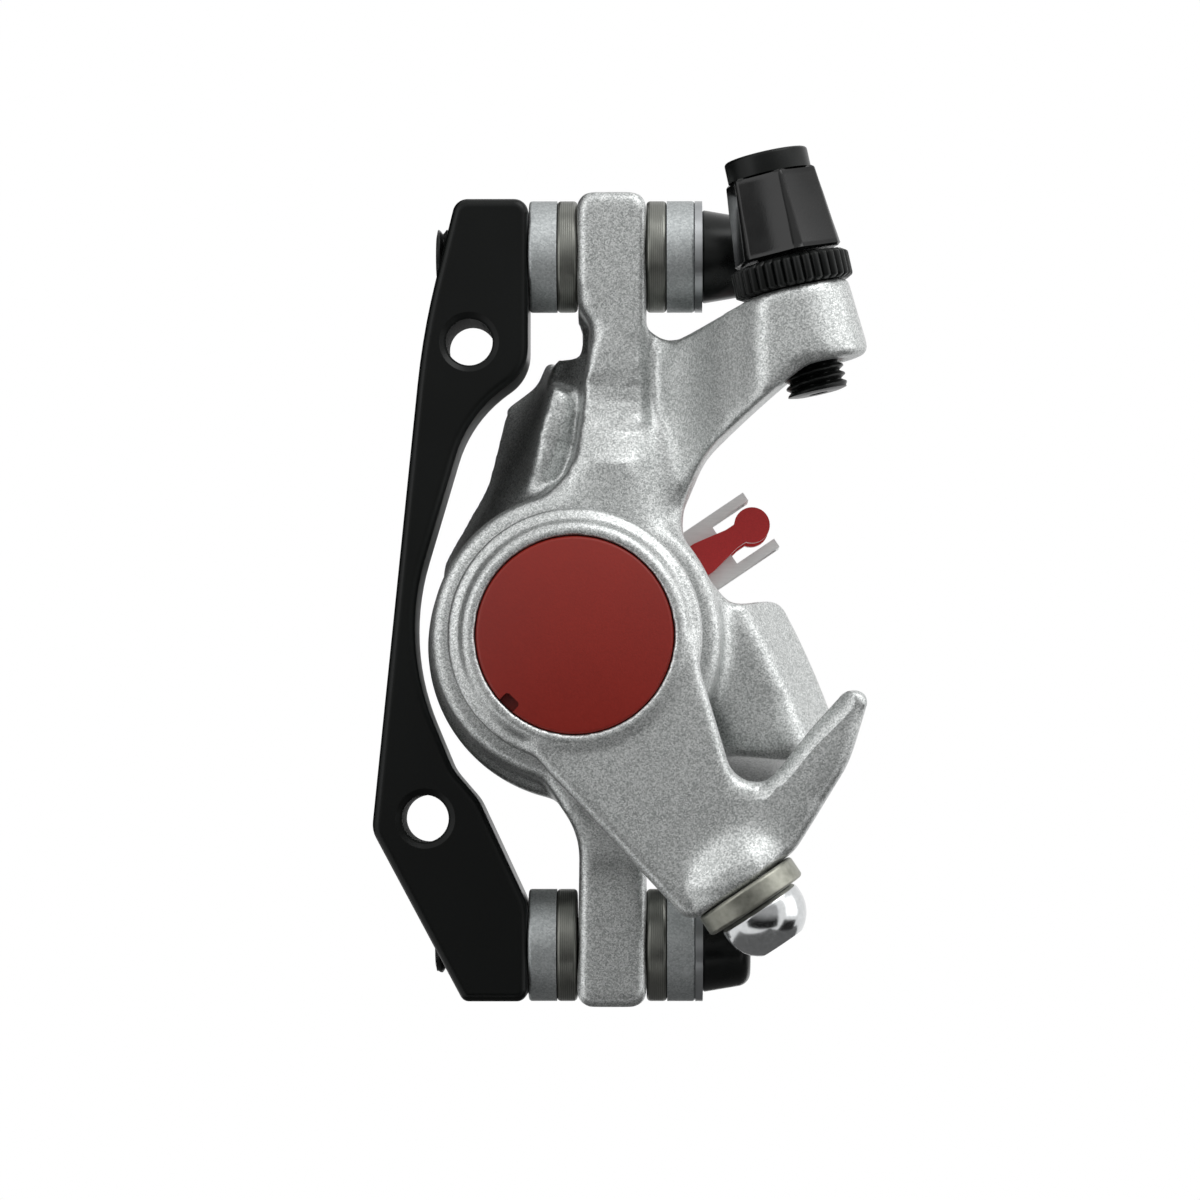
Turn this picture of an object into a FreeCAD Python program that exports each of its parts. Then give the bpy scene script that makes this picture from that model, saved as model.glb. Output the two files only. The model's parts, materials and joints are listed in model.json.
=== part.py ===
import FreeCAD, Part
import os
from math import sin, cos, tan, radians, sqrt, pi

V = FreeCAD.Vector

# Frame tab holes, in millimetres; the origin lies midway between them on the tab face
tab_hole_spacing = 51.0
tab_hole_tilt = 5.2
tab_tap_r = 2.5
tab_hole_flare = 0.7
tab_hole_chamfer = 0.48

# Bracket, and the two posts that carry the caliper
bracket_depth = 12.0
bracket_face_x = 8.6
bracket_edge_round = 0.9
bracket_end_high = 5.7
bracket_end_low = 5.85
post_spacing = 74.0
post_mid_z = -1.95
post_bolt_r = 3.0
thread_clearance = 0.05
bolt_tip_x = -1.4

# Alignment washers and mounting bolts
washer_r = 6.0
cup_thickness = 3.0
ball_washer_thickness = 2.2
ball_seat_r = 8.5
ball_seat_edge = 0.5
washer_hole_r = 3.7
head_washer_thickness = 0.8
bolt_head_r = 5.0
bolt_head_length = 5.1
bolt_head_taper = 0.8
bolt_hex = 5.0

# Cast body
cam_x = 13.75
cam_z = -6.2
tab_angle = 34.0
rotor_offset = 70.0
ear_length = 7.4
ear_half = 6.45
spine_front_y = -0.5
spine_proud_y = -2.9
spine_edge = 1.1
housing_r = 15.5
housing_step_r = 16.5
housing_step_x = 0.6
housing_step_z = -0.9
housing_front_y = -3.0
spring_recess_y = 0.0
front_wall_y = 2.2
mechanism_bore_r = 10.0
block_front_y = 3.0
panel_y = 5.0
panel_valley = 2.5
block_ridge_r = 2.0
cove_r = 1.8
inboard_face_y = 34.0
bridge_r = 91.0
rotor_slot_r = 81.5
rotor_y = 20.0
rotor_slot = 5.0
key_slot_width = 4.2
key_slot_r = 11.4
spring_recess_r = 11.2

# Lever
lever_gap = 0.4
hub_r = 13.4
bezel_r = 11.9
bezel_rise = 1.5
lever_edge = 1.1
cap_r = 10.35
hub_length = 7.0
arm_thickness = 6.2
arm_front_step = 0.4
web_thickness = 1.6
spring_cavity = 1.2
cap_thickness = 1.2
cap_notch_angle = 226.0
lever_washer_thickness = 0.7
lever_head_length = 2.1
lever_bolt_r = 2.5
pinch_angle = -56.0
pinch_reach = 31.7
pinch_boss_r = 5.0
crown_r = 9.0
crown_rise = 0.3
pinch_washer_r = 5.75
pinch_washer_thickness = 2.4
pinch_head_r = 4.6
pinch_head_length = 5.2
pinch_bolt_r = 3.0
pinch_depth = 6.2

# Ball ramp mechanism
lever_swing = 45.0
pad_travel = 1.4
spindle_r = 4.2
spindle_flat = 3.0
running_clearance = 0.06
thrust_thickness = 0.8
flange_r = 9.6
flange_thickness = 2.5
ball_r = 2.0
ball_circle_r = 6.8
ball_count = 3
ball_sink = 1.0
race_clearance = 0.2
cage_thickness = 0.9
cam_face_gap = 0.3
cam_thickness = 4.3
foot_r = 6.5
spring_wire_r = 0.6
spring_coil_r = 8.6
spring_turns = 1.9
spring_leg = 8.0
spring_start = 200.0
spring_end_gap = 0.4

# Brake pads and their spring
plate_thickness = 1.8
lining_thickness = 2.4
pad_gap = 2.6
pad_side_clearance = 0.35
tab_reach = 22.85
tab_head_r = 1.95
tab_neck = 1.15
tab_root = 1.85
sheet = 0.4
prong_centre = 3.05
prong_width = 1.06
prong_reach = 24.1
prong_root = 19.2

# Inboard adjuster
plug_r = 11.5
plug_thickness = 6.0
screw_r = 5.0
screw_foot_r = 7.0
screw_foot_thickness = 1.8
tail_hex = 5.0
knob_r = 10.4
knob_thickness = 4.2
knob_neck_r = 6.7
knob_scallops = 10

# Cable barrel
barrel_x = 36.9
barrel_z = 30.2
barrel_tilt = 12.5
boss_r = 6.2
boss_taper = 0.55
boss_height = 8.3
stem_r = 3.2
stem_below = 11.2
lock_ring_r = 6.3
lock_ring_height = 3.2
lock_ring_seat_gap = 0.05
grip_gap = 0.3
grip_bottom_r = 5.85
grip_top_r = 4.95
grip_height = 8.85
grip_flutes = 6
flute_r = 24.0
flute_start = 40.7
flute_bottom_chord = 5.0
flute_top_chord = 4.7
core_r = 3.8
collar_r = 4.45
collar_height = 2.2
housing_socket_r = 2.55
housing_socket_depth = 10.0
cable_hole_r = 1.0

# Positions that follow from the sizes above
post_y = bracket_depth / 2
post_z = [post_mid_z + post_spacing / 2, post_mid_z - post_spacing / 2]
ear_x0 = bracket_face_x + cup_thickness + ball_washer_thickness
ear_x1 = ear_x0 + ear_length
head_washer_x = ear_x1 + ball_washer_thickness + cup_thickness
bolt_head_x = head_washer_x + head_washer_thickness
hub_back_y = housing_front_y - lever_gap
hub_front_y = hub_back_y - hub_length
web_back_y = hub_back_y - spring_cavity
web_front_y = web_back_y - web_thickness
arm_front_y = hub_front_y + arm_front_step
arm_back_y = arm_front_y + arm_thickness
arm_mid_y = (arm_front_y + arm_back_y) / 2
slot_y0 = rotor_y - rotor_slot / 2
slot_y1 = rotor_y + rotor_slot / 2
lining_out_y = rotor_y - pad_gap / 2
plate_out_y1 = lining_out_y - lining_thickness
plate_out_y0 = plate_out_y1 - plate_thickness
lining_in_y = rotor_y + pad_gap / 2
plate_in_y0 = lining_in_y + lining_thickness
plate_in_y1 = plate_in_y0 + plate_thickness
pocket_y0 = plate_out_y0 - 0.6
pocket_y1 = plate_in_y1 + 0.6
thrust_y1 = front_wall_y + thrust_thickness
flange_y0 = thrust_y1 + running_clearance
flange_y1 = flange_y0 + flange_thickness
ball_y = flange_y1 - ball_sink + ball_r
cage_y0 = flange_y1 + 0.2
cage_y1 = cage_y0 + cage_thickness
cam_y0 = flange_y1 + cage_thickness + cam_face_gap + 0.1
cam_y1 = cam_y0 + cam_thickness
plug_y1 = inboard_face_y - 0.1
plug_y0 = plug_y1 - plug_thickness
tab_u = V(cos(radians(tab_angle)), 0, sin(radians(tab_angle)))
tab_v = V(-sin(radians(tab_angle)), 0, cos(radians(tab_angle)))
cam = V(cam_x, 0, cam_z)
rotor_centre = cam - tab_u * rotor_offset
pinch_dir = V(cos(radians(pinch_angle)), 0, sin(radians(pinch_angle)))
barrel_dir = V(-sin(radians(barrel_tilt)), 0, cos(radians(barrel_tilt)))
barrel_base = V(barrel_x, arm_mid_y, barrel_z)


def cylinder(r, base, direction, length):
    return Part.makeCylinder(r, length, base, direction)


def disc(r, y0, y1, centre=cam):
    return cylinder(r, V(centre.x, y0, centre.z), V(0, 1, 0), y1 - y0)


def ring(r_in, r_out, y0, y1):
    return disc(r_out, y0, y1).cut(disc(r_in, y0 - 1, y1 + 1))


# Closed outline in the XZ plane from (x, z, corner radius)
def outline(corners, y):
    marks = []
    for i, (x, z, r) in enumerate(corners):
        here = V(x, y, z)
        before = V(corners[i - 1][0], y, corners[i - 1][1])
        after = V(corners[(i + 1) % len(corners)][0], y, corners[(i + 1) % len(corners)][1])
        u = (before - here).normalize()
        v = (after - here).normalize()
        half = u.getAngle(v) / 2
        reach = r / tan(half)
        middle = here + (u + v).normalize() * (r / sin(half) - r)
        marks.append((here + u * reach, middle, here + v * reach, r))
    edges = []
    for i, (start, middle, end, r) in enumerate(marks):
        if r > 0:
            edges.append(Part.Arc(start, middle, end).toShape())
        follow = marks[(i + 1) % len(marks)][0]
        if end.distanceToPoint(follow) > 1e-6:
            edges.append(Part.LineSegment(end, follow).toShape())
    return Part.Wire(edges)


# Solid of revolution from (radius, height) points, with a third value where a corner is round
def turned(points, base, direction):
    corners = [(point + (0,))[:3] for point in points]
    solid = Part.Face(outline(corners, 0)).revolve(V(0, 0, 0), V(0, 0, 1), 360)
    solid.Placement = FreeCAD.Placement(base, FreeCAD.Rotation(V(0, 0, 1), direction))
    return solid


def plate(corners, y0, y1):
    return Part.Face(outline(corners, y0)).extrude(V(0, y1 - y0, 0))


# Edges that lie in the planes y = levels
def rim_edges(shape, levels):
    found = []
    for edge in shape.Edges:
        box = edge.BoundBox
        for level in levels:
            if abs(box.YMin - level) < 1e-4 and abs(box.YMax - level) < 1e-4:
                found.append(edge)
    return found


def soft_plate(corners, y0, y1, radius, levels):
    blank = plate(corners, y0, y1)
    return blank.makeFillet(radius, rim_edges(blank, levels))


# Outline corners given along and across the pad tab, from the cam axis
def from_tab(corners):
    placed = []
    for t, m, r in corners:
        point = cam + tab_u * t + tab_v * m
        placed.append((point.x, point.z, r))
    return placed


def from_cam(corners):
    return [(cam_x + x, cam_z + z, r) for x, z, r in corners]


def hexagon(across, base, direction, length, turn=0.0):
    side = V(0, 1, 0) if abs(direction.y) < 0.5 else V(1, 0, 0)
    other = direction.cross(side)
    r = across / sqrt(3)
    angles = [radians(60 * i + turn) for i in range(6)]
    points = [base + side * (r * cos(a)) + other * (r * sin(a)) for a in angles]
    return Part.Face(Part.makePolygon(points + points[:1])).extrude(direction * length)


def around(count, start=0.0):
    return [radians(start + 360.0 * i / count) for i in range(count)]


def fused(shapes):
    return shapes[0].multiFuse(shapes[1:]).removeSplitter()


def export(shape, name):
    shape.exportStep("parts/" + name + ".step")


# Bracket outline, clockwise from the top left
def mounting_bracket():
    low = post_z[1] - bracket_end_low
    high = post_z[0] + bracket_end_high
    face = bracket_face_x
    corners = [
        (0.85, high, 1.6), (face, high, 1.5), (face, 22.3, 5.0), (2.22, 17.75, 14.0), (-5.0, -6.7, 26.0),
        (0.65, -20.2, 5.0), (3.4, -23.4, 5.0), (face, -34.5, 4.0), (face, low, 1.2), (1.75, low, 1.0),
        (-8.0, -26.65, 3.0), (-2.65, 26.5, 80.0),
    ]
    body = soft_plate(corners, 0, bracket_depth, bracket_edge_round, [0, bracket_depth])
    half = tab_hole_spacing / 2
    lean = radians(tab_hole_tilt)
    for way in (1, -1):
        centre = V(way * half * sin(lean), 0, way * half * cos(lean))
        body = body.cut(disc(tab_tap_r, -1, bracket_depth + 1, centre))
        wide = tab_tap_r + tab_hole_flare
        sink = [(0, 0), (wide, 0), (tab_tap_r, tab_hole_chamfer), (0, tab_hole_chamfer)]
        body = body.cut(turned(sink, centre, V(0, 1, 0)))
        far = centre + V(0, bracket_depth, 0)
        body = body.cut(turned(sink, far, V(0, -1, 0)))
    for z in post_z:
        body = body.cut(cylinder(post_bolt_r, V(-12, post_y, z), V(1, 0, 0), 30))
    return body


# One cup washer: its flat back at x, hollow side facing way
def cup_washer(x, z, way):
    base = V(x, post_y, z)
    axis = V(way, 0, 0)
    thick = cup_thickness
    section = [(washer_hole_r, 0), (washer_r, 0, 0.35), (washer_r, thick), (washer_hole_r, thick)]
    blank = turned(section, base, axis)
    rise = sqrt(ball_seat_r ** 2 - (washer_r - ball_seat_edge) ** 2)
    centre = base + axis * (thick + rise)
    return blank.cut(Part.makeSphere(ball_seat_r + thread_clearance, centre))


# One ball washer: its flat back at x, domed side facing way
def ball_washer(x, z, way):
    base = V(x, post_y, z)
    axis = V(way, 0, 0)
    edge = 0.45
    thick = ball_washer_thickness
    blank = turned([(0, 0), (washer_r, 0, edge), (washer_r, thick, edge), (0, thick)], base, axis)
    rise = sqrt(ball_seat_r ** 2 - (washer_r - ball_seat_edge) ** 2)
    centre = base + axis * (thick - rise)
    dome = Part.makeSphere(ball_seat_r, centre)
    dome = dome.common(cylinder(washer_r - ball_seat_edge, base + axis * (thick - 0.5), axis, 4))
    return blank.fuse(dome).cut(cylinder(washer_hole_r, base - axis, axis, 12)).removeSplitter()


def post_stack():
    cups = []
    balls = []
    flats = []
    bolts = []
    for z in post_z:
        cups.append(cup_washer(bracket_face_x, z, 1))
        balls.append(ball_washer(ear_x0, z, -1))
        balls.append(ball_washer(ear_x1, z, 1))
        cups.append(cup_washer(head_washer_x, z, -1))
        base = V(head_washer_x, post_y, z)
        flat = cylinder(washer_r, base, V(1, 0, 0), head_washer_thickness)
        flats.append(flat.cut(cylinder(post_bolt_r + 0.2, base, V(1, 0, 0), head_washer_thickness)))
        bolts.append(mount_bolt(z))
    return Part.Compound(cups), Part.Compound(balls), Part.Compound(flats), Part.Compound(bolts)


def mount_bolt(z):
    head = bolt_head_x
    shank_r = post_bolt_r - thread_clearance
    length = bolt_head_length
    tip = bolt_tip_x - head
    section = [
        (0, tip), (shank_r, tip, 0.5), (shank_r, 0), (bolt_head_r, 0, 0.3),
        (bolt_head_r - bolt_head_taper, length, 1.5), (0, length),
    ]
    bolt = turned(section, V(head, post_y, z), V(1, 0, 0))
    return bolt.cut(hexagon(bolt_hex, V(head + length, post_y, z), V(-1, 0, 0), 3.0))


def pad_plate_outline(grow):
    low = -9.5 - grow
    high = 9.5 + grow
    wide = 13.0 + grow
    return [
        (low, -wide + 2.5, 3.0), (high - 3.5, -wide, 3.0), (high, -wide + 5.0, 2.0),
        (high, wide - 5.0, 2.0), (high - 3.5, wide, 3.0), (low, wide - 2.5, 3.0),
    ]


def pad_plate(y0, y1):
    root = [
        (7.0, -3.0, 0), (13.0, -tab_root, 2.0), (16.5, -tab_root, 3.0), (20.2, -tab_neck, 1.5),
        (tab_reach, -tab_neck, 0), (tab_reach, tab_neck, 0), (20.2, tab_neck, 1.5), (16.5, tab_root, 3.0),
        (13.0, tab_root, 2.0), (7.0, 3.0, 0),
    ]
    base = plate(from_tab(pad_plate_outline(0)), y0, y1)
    neck = plate(from_tab(root), y0, y1)
    head = disc(tab_head_r, y0, y1, cam + tab_u * tab_reach)
    return fused([base, neck, head])


def lining_outline(grow):
    return [
        (-8.2 - grow, -8.8 - grow, 2.5), (4.5 + grow, -10.8 - grow, 2.5), (7.2 + grow, -6.6 - grow, 2.0),
        (7.2 + grow, 6.6 + grow, 2.0), (4.5 + grow, 10.8 + grow, 2.5), (-8.2 - grow, 8.8 + grow, 2.5),
    ]


def pad_spring():
    parts = []
    y_out = plate_out_y1
    y_in = plate_in_y0 - sheet
    for y in (y_out, y_in):
        frame = plate(from_tab(pad_plate_outline(-0.4)), y, y + sheet)
        parts.append(frame.cut(plate(from_tab(lining_outline(0.4)), y - 1, y + 2)))
        half = prong_centre + prong_width / 2
        root = [(8.2, -half, 0), (prong_root, -half, 0), (prong_root, half, 0), (8.2, half, 0)]
        parts.append(plate(from_tab(root), y, y + sheet))
        for side in (-1, 1):
            m0 = side * prong_centre - prong_width / 2
            m1 = side * prong_centre + prong_width / 2
            strip = [(8.2, m0, 0), (prong_reach, m0, 0), (prong_reach, m1, 0), (8.2, m1, 0)]
            parts.append(plate(from_tab(strip), y, y + sheet))
            fold = [(prong_reach - sheet, m0, 0), (prong_reach, m0, 0), (prong_reach, m1, 0)]
            fold.append((prong_reach - sheet, m1, 0))
            parts.append(plate(from_tab(fold), y_out, y_in + sheet))
    return fused(parts)


# Outline in the XY plane from (radius, y, corner radius), turned about the rotor axis through the pad block
def round_rotor(corners):
    section = Part.Face(outline(corners, 0))
    section.rotate(V(0, 0, 0), V(1, 0, 0), -90)
    section.rotate(V(0, 0, 0), V(0, 1, 0), -tab_angle - 40)
    section.translate(rotor_centre)
    return section.revolve(rotor_centre, V(0, 1, 0), 80)


# Straight edges along y where the bridge meets the lower side of the pad window
def shoulder_edges(block):
    found = []
    for edge in block.Edges:
        out = edge.CenterOfMass - rotor_centre
        out.y = 0
        straight = edge.BoundBox.XLength < 1e-3 and edge.BoundBox.ZLength < 1e-3
        if straight and abs(out.Length - bridge_r) < 1e-3 and out.dot(tab_v) < 0:
            found.append((out.dot(tab_v), edge))
    top = max(rise for rise, edge in found)
    return [edge for rise, edge in found if rise > top - 0.1]


# Pad block: it flares from the outboard outline to the inboard one, and its cross-section follows the rotor
def pad_block():
    reach = bridge_r - rotor_offset
    window = [
        (reach + 5.0, -22.8, 2.5), (reach + 5.0, -10.8, 0.5), (reach - 5.4, -6.2, 2.0),
        (reach - 6.0, 5.0, 1.5), (reach - 4.2, 5.0, 0.5),
    ]
    outboard = window + [
        (16.8, 21.5, 2.0), (14.2, 25.8, 1.5), (10.0, 21.6, 6.0), (3.4, 16.0, 4.0), (-1.8, 14.1, 9.0),
        (-7.0, 13.0, 4.0), (-13.2, 7.0, 4.0), (-13.2, -7.0, 4.0), (-7.0, -13.0, 4.0),
        (3.4, -17.0, 4.0), (14.0, -25.5, 2.5),
    ]
    inboard = window + [
        (16.8, 21.5, 2.0), (14.7, 27.8, 0.7), (12.0, 26.0, 3.0), (7.6, 25.8, 2.0), (1.5, 20.2, 9.0),
        (-7.5, 15.6, 4.0), (-13.2, 8.0, 4.0), (-13.2, -8.0, 4.0), (-7.5, -15.6, 4.0),
        (7.6, -24.6, 3.0), (14.0, -25.5, 2.5),
    ]
    front = plate(from_tab(outboard), block_front_y - 1, panel_y + 0.5)
    wires = [outline(from_tab(outboard), panel_y), outline(from_tab(inboard), slot_y0 + 0.5)]
    flare = Part.makeLoft(wires, True, True)
    far = plate(from_tab(inboard), slot_y0, inboard_face_y)
    block = front.multiFuse([flare, far]).common(disc(bridge_r, -10, 50, rotor_centre)).removeSplitter()
    block = block.makeFillet(2.0, shoulder_edges(block))
    back = inboard_face_y - 0.5
    ridge = rotor_offset + 17.0
    profile = [
        (rotor_offset - 30, panel_y, 0), (rotor_offset + 8.0, panel_y, 0.5),
        (rotor_offset + 9.2, block_front_y, 0.5),
        (ridge, block_front_y, block_ridge_r), (ridge + 4.4, block_front_y + 10.0, 4.0),
        (ridge + 4.4, back - 2.5, 1.0), (ridge, back, 2.0), (rotor_offset - 30, back, 0),
    ]
    block = block.common(round_rotor(profile))
    valley = [
        (13.56, 20.4, 1.2), (12.24, 13.1, 8.0), (10.2, 9.0, 0), (15.5, 9.0, 0), (15.5, 34.0, 0),
        (9.0, 34.0, 0), (10.6, 21.4, 1.2),
    ]
    return block.cut(plate(valley, -5, panel_y + panel_valley))


# Hollow cove where the front of the pad block runs up to the housing
def block_cove():
    low = block_front_y - cove_r
    foot = ring(housing_r - 1, housing_r + cove_r, low, block_front_y + 0.5)
    hollow = Part.makeTorus(housing_r + cove_r, cove_r, V(cam_x, low, cam_z), V(0, 1, 0))
    reach = [(8.0, -17.5, 0), (24.0, -17.5, 0), (24.0, -6.4, 0), (8.0, -6.4, 0)]
    return foot.cut(hollow).common(plate(from_tab(reach), low, block_front_y + 0.5))


# Side of the spine: it swells forward from the ears to the housing
def swell(y0, z0, y1, z1):
    middle = (z0 + z1) / 2
    curve = Part.BezierCurve()
    curve.setPoles([V(0, y0, z0), V(0, y0, middle), V(0, y1, middle), V(0, y1, z1)])
    return curve.toShape()


def spine():
    low = post_z[1] - ear_half
    high = post_z[0] + ear_half
    rear = post_y + ear_half
    flats = [26.0, 9.5, -21.5, -33.0]
    corners = [
        (ear_x0, high, 1.6), (ear_x1, high, 1.6), (ear_x1, low, 1.6), (ear_x0, low, 1.6),
        (ear_x0 + 0.3, -27.1, 8.0), (8.5, -18.8, 3.0), (8.5, 4.0, 3.0), (13.0, 9.6, 3.0),
        (15.5, post_z[0] - ear_half - 1.0, 1.0), (ear_x0, post_z[0] - ear_half, 1.2),
    ]
    points = [
        V(0, spine_front_y, low), V(0, rear, low), V(0, rear, high), V(0, spine_front_y, high),
        V(0, spine_front_y, flats[0]),
    ]
    edges = list(Part.makePolygon(points).Edges)
    edges.append(swell(spine_front_y, flats[0], spine_proud_y, flats[1]))
    edges.append(Part.LineSegment(V(0, spine_proud_y, flats[1]), V(0, spine_proud_y, flats[2])).toShape())
    edges.append(swell(spine_proud_y, flats[2], spine_front_y, flats[3]))
    edges.append(Part.LineSegment(V(0, spine_front_y, flats[3]), points[0]).toShape())
    side = Part.Face(Part.Wire(edges)).extrude(V(60, 0, 0))
    rib = plate(corners, spine_proud_y - 1, rear).common(side)
    rims = []
    for edge in rib.Edges:
        box = edge.BoundBox
        across = box.ZLength < 1e-3 and min(abs(box.ZMin - z) for z in flats) < 1e-3
        if box.YMax < spine_front_y + 1e-3 and not across:
            rims.append(edge)
    rib = rib.makeFillet(spine_edge, rims)
    web = [
        (ear_x0, post_z[0] - 2.0, 0), (ear_x1 - 1.0, post_z[0] - 2.0, 0), (ear_x1 - 1.0, 8.0, 0),
        (11.0, 8.0, 0), (10.9, 23.2, 1.5), (ear_x0, 26.0, 2.0),
    ]
    return rib.fuse(plate(web, panel_y + panel_valley, rear - 1.2))


# Cable arm: a side outline shaped by a plan that carries it forward to the barrel
def cable_arm():
    sides = [
        (15.0, 26.5, 0), (21.0, 27.0, 1.0), (23.8, 25.2, 2.5), (31.4, 28.6, 3.0), (37.0, 29.6, 0.5),
        (41.0, 24.0, 0.5), (36.2, 20.6, 2.0), (27.6, 13.4, 8.0), (24.4, 6.0, 6.0), (26.4, 1.2, 0),
        (15.0, 0.0, 0),
    ]
    arm = plate(sides, -14, 14)
    reach = boss_r - 0.7
    front = [(21.5, 1.2), (23.0, 0.2), (25.5, -2.4), (28.5, -6.5), (32.0, -10.6), (36.0, arm_mid_y - reach)]
    rear = [(37.5, arm_mid_y + reach), (31.0, 4.0), (25.5, 10.5), (20.0, 11.0)]
    right = V(1, 0, 0)
    left = V(-1, 0, 0)
    sweep = Part.BSplineCurve()
    sweep.interpolate(Points=[V(x, y, -2) for x, y in front], InitialTangent=right, FinalTangent=right)
    bend = Part.BSplineCurve()
    bend.interpolate(Points=[V(x, y, -2) for x, y in rear], InitialTangent=left, FinalTangent=left)
    tip = [V(46, arm_mid_y - reach, -2), V(46, arm_mid_y + reach, -2)]
    far = Part.makePolygon([sweep.EndPoint] + tip + [bend.StartPoint])
    near = Part.makePolygon([bend.EndPoint, V(14, 11, -2), V(14, 1.2, -2), sweep.StartPoint])
    plan = Part.Wire([sweep.toShape()] + far.Edges + [bend.toShape()] + near.Edges)
    arm = arm.common(Part.Face(plan).extrude(V(0, 0, 40)))
    section = [(0, -boss_height), (boss_r, -boss_height, 0.9), (boss_r - boss_taper, 0, 0.4), (0, 0)]
    return arm.fuse(turned(section, barrel_base, barrel_dir))


def caliper_body():
    front = [(0, housing_front_y), (housing_r, housing_front_y, 1.2), (housing_r, slot_y0), (0, slot_y0)]
    step = [(0, 0.6), (housing_step_r, 0.6, 0.9), (housing_step_r, slot_y0), (0, slot_y0)]
    step_axis = cam + V(housing_step_x, 0, housing_step_z)
    outer_side = Part.makeBox(30, 40, 60, V(cam_x - 25, -5, cam_z - 30))
    back = [(0, slot_y1), (plug_r + 3.2, slot_y1), (plug_r + 3.2, inboard_face_y, 0.9), (0, inboard_face_y)]
    axis = V(0, 1, 0)
    rim = turned(step, step_axis, axis).common(outer_side)
    solids = [turned(front, cam, axis), rim, turned(back, cam, axis)]
    body = fused(solids + [pad_block(), block_cove(), spine(), cable_arm()])
    cuts = [
        disc(spring_recess_r, housing_front_y - 1, spring_recess_y),
        disc(spindle_r + running_clearance, spring_recess_y - 1, front_wall_y + 1),
        disc(spindle_r + 1.4, spring_recess_y - 1, spring_recess_y + 1.0),
        disc(mechanism_bore_r, front_wall_y, slot_y1),
        disc(rotor_slot_r, slot_y0, slot_y1, rotor_centre),
        disc(plug_r + thread_clearance, slot_y1 - 1, inboard_face_y + 5),
        plate(from_tab(pad_plate_outline(pad_side_clearance)), pocket_y0, pocket_y1),
        plate(from_tab([(5, -4.0, 0), (30, -4.0, 0), (30, 4.0, 0), (5, 4.0, 0)]), pocket_y0, pocket_y1),
    ]
    key = key_slot_width / 2
    slots = [(-key, -key_slot_r, 0.8), (key, -key_slot_r, 0.8)]
    slots = slots + [(key, key_slot_r, 0.8), (-key, key_slot_r, 0.8)]
    cuts.append(plate(from_tab(slots), cam_y0 - 0.5, slot_y0 + 1))
    cuts.append(spring_notch(spring_start, -1, housing_front_y - 1, spring_recess_y))
    for z in post_z:
        for shift in (-1.2, 1.2):
            cuts.append(cylinder(washer_hole_r, V(ear_x0 - 1, post_y + shift, z), V(1, 0, 0), ear_length + 2))
        slot = Part.makeBox(ear_length + 2, 2.4, washer_hole_r * 2)
        slot.translate(V(ear_x0 - 1, post_y - 1.2, z - washer_hole_r))
        cuts.append(slot)
    drill = barrel_base - barrel_dir * (stem_below + 1)
    cuts.append(cylinder(stem_r + thread_clearance, drill, barrel_dir, stem_below + 2))
    return body.cut(cuts[0].multiFuse(cuts[1:]))


# Straight notch for one leg of the return spring, leaving the coil at a tangent
def spring_notch(angle, way, y0, y1):
    width = spring_wire_r * 2 + 0.5
    blank = Part.makeBox(width, y1 - y0, spring_leg + 0.5)
    blank.translate(V(spring_coil_r - width / 2, y0, 0 if way > 0 else -spring_leg - 0.5))
    blank.rotate(V(0, 0, 0), V(0, -1, 0), angle)
    blank.translate(cam)
    return blank


def return_spring():
    low = spring_recess_y - spring_wire_r - spring_end_gap
    high = web_back_y + spring_wire_r + spring_end_gap
    rise = low - high
    slope = rise / spring_turns / (2 * pi * spring_coil_r)
    coil = Part.makeHelix(rise / spring_turns, rise, spring_coil_r)
    turn = radians(360.0 * spring_turns)
    start = V(spring_coil_r, 0, 0)
    end = V(spring_coil_r * cos(turn), spring_coil_r * sin(turn), rise)
    first = start - V(0, 1, slope).normalize() * spring_leg
    last = end + V(-sin(turn), cos(turn), slope).normalize() * spring_leg
    path = [Part.LineSegment(first, start).toShape()] + coil.Edges + [Part.LineSegment(end, last).toShape()]
    profile = Part.Wire(Part.makeCircle(spring_wire_r, first, V(0, 1, slope)))
    spring = Part.Wire(path).makePipeShell([profile], True, False)
    spring.rotate(V(0, 0, 0), V(1, 0, 0), 90)
    spring.rotate(V(0, 0, 0), V(0, 1, 0), -spring_start)
    spring.translate(V(cam_x, low, cam_z))
    return spring


def spindle_seal():
    inner = spindle_r + running_clearance
    return ring(inner, spindle_r + 1.35, spring_recess_y, spring_recess_y + 1.0)


def spindle_section(grow, y0, y1):
    flat = (spindle_flat + grow) * 2
    bar = disc(spindle_r + grow, y0, y1)
    sides = Part.makeBox(60, y1 - y0 + 2, flat)
    sides.translate(V(-30, y0 - 1, -flat / 2))
    sides.rotate(V(0, 0, 0), V(0, -1, 0), pinch_angle)
    sides.translate(cam)
    return bar.common(sides)


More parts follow.
